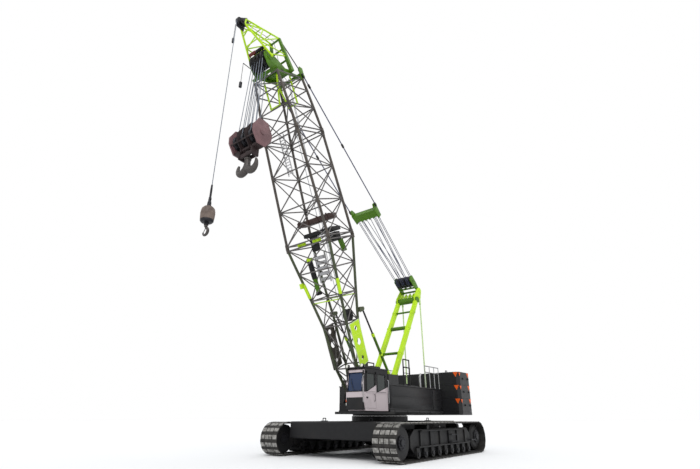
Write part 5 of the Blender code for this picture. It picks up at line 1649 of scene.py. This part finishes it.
@dataclass
class Studio:
    """The camera, the lights, the floor and the white background.

    Attributes:
        slew: The slew axis, where the camera's place is counted from.
        eye: The camera's place in front of the slew axis, to its left and above the floor.
        heading: The way that it looks, in degrees from +X towards +Y.
        pitch: How far it looks up, in degrees.
        lens: Its focal length on a 36 mm sensor, in millimetres.
    """

    slew: Vector
    eye: tuple[float, float, float] = (19.5, 13.0, 1.65)
    heading: float = -142.6
    pitch: float = 23.5
    lens: float = 21.6
    floor_size: float = 400.0

    def camera(self) -> None:
        """Adds the camera and makes it the scene's."""
        data = bpy.data.cameras.new("camera")
        data.lens = self.lens
        data.sensor_width = 36.0
        data.clip_end = 1000.0
        camera = bpy.data.objects.new("camera", data)
        camera.location = Vector((self.slew.x, 0.0, 0.0)) + Vector(self.eye)
        camera.rotation_euler = (math.radians(90 + self.pitch), 0.0, math.radians(self.heading - 90))
        bpy.context.scene.collection.objects.link(camera)
        bpy.context.scene.camera = camera

    def lights(self) -> None:
        """Adds a broad key light and a weaker fill from the other side."""
        for name, strength, turn, tilt, spread in (
                ("key_light", 1.5, 35.0, 48.0, 35.0), ("fill_light", 0.55, 150.0, 60.0, 60.0)):
            data = bpy.data.lights.new(name, "SUN")
            data.energy = strength
            data.angle = math.radians(spread)
            lamp = bpy.data.objects.new(name, data)
            lamp.rotation_euler = (math.radians(90 - tilt), 0.0, math.radians(turn + 90))
            bpy.context.scene.collection.objects.link(lamp)

    def seen_white(self, material: bpy.types.ShaderNodeTree, usual: bpy.types.NodeSocket,
                   white: bpy.types.NodeSocket) -> bpy.types.NodeSocket:
        """Mixes in plain white for what the camera, a mirror or a pane sees directly.

        Args:
            material: The tree that gets the nodes.
            usual: The shader for every other ray.
            white: The shader of plain white.

        Returns:
            The mixed shader's socket.
        """
        nodes, links = material.nodes, material.links
        path = nodes.new("ShaderNodeLightPath")
        first, both = nodes.new("ShaderNodeMath"), nodes.new("ShaderNodeMath")
        mix = nodes.new("ShaderNodeMixShader")
        first.operation = both.operation = "MAXIMUM"
        links.new(path.outputs["Is Camera Ray"], first.inputs[0])
        links.new(path.outputs["Is Glossy Ray"], first.inputs[1])
        links.new(first.outputs["Value"], both.inputs[0])
        links.new(path.outputs["Is Transmission Ray"], both.inputs[1])
        links.new(both.outputs["Value"], mix.inputs["Fac"])
        links.new(usual, mix.inputs[1])
        links.new(white, mix.inputs[2])
        return mix.outputs["Shader"]

    def world(self) -> None:
        """Lights the crane with a soft pale sky, seen directly as white."""
        world = bpy.data.worlds.new("studio")
        bpy.context.scene.world = world
        world.use_nodes = True
        nodes, links = world.node_tree.nodes, world.node_tree.links
        sky = nodes["Background"]
        sky.inputs["Color"].default_value = (0.93, 0.96, 1.0, 1.0)
        sky.inputs["Strength"].default_value = 0.62
        white = nodes.new("ShaderNodeBackground")
        white.inputs["Strength"].default_value = 1.0
        white.inputs["Color"].default_value = (1.0, 1.0, 1.0, 1.0)
        mixed = self.seen_white(world.node_tree, sky.outputs["Background"], white.outputs["Background"])
        links.new(mixed, nodes["World Output"].inputs["Surface"])

    def floor(self) -> None:
        """Lays the pale floor under the tracks."""
        shape = bmesh.new()
        bmesh.ops.create_grid(shape, x_segments=2, y_segments=2, size=self.floor_size / 2)
        mesh = bpy.data.meshes.new("floor")
        shape.to_mesh(mesh)
        shape.free()
        floor = bpy.data.objects.new("floor", mesh)
        finish = Finish("floor", (0.94, 0.94, 0.94), (0.92, 0.92, 0.915), 0.85, stained=0.3, patch=0.2,
                        bump=0.02)
        mesh.materials.append(finish.material())
        floor.location.z = -0.002
        bpy.context.scene.collection.objects.link(floor)

    def build(self) -> None:
        """Adds everything and sets the plain view."""
        self.camera()
        self.lights()
        self.world()
        self.floor()
        bpy.context.scene.view_settings.view_transform = "Standard"


def main() -> None:
    """Builds the crane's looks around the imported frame."""
    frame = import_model()
    joints = {joint["name"]: Vector(joint["pos_m"]) for joint in frame["joints"] if "pos_m" in joint}
    dress_nodes(frame["nodes"])
    layout = Layout(joints)
    hooks, gear = Hooks(layout), LuffingGear(layout)
    for assembly in (Crawlers(layout), House(layout), Counterweight(layout), Cab(layout), Gantry(layout),
                     Boom(layout), Head(layout), gear, hooks):
        assembly.build()
    Ropes(layout).build(hooks, gear)
    Studio(slew=joints["slew"]).build()


if __name__ == "__main__":
    logging.basicConfig(level=logging.INFO, format="%(message)s")
    main()
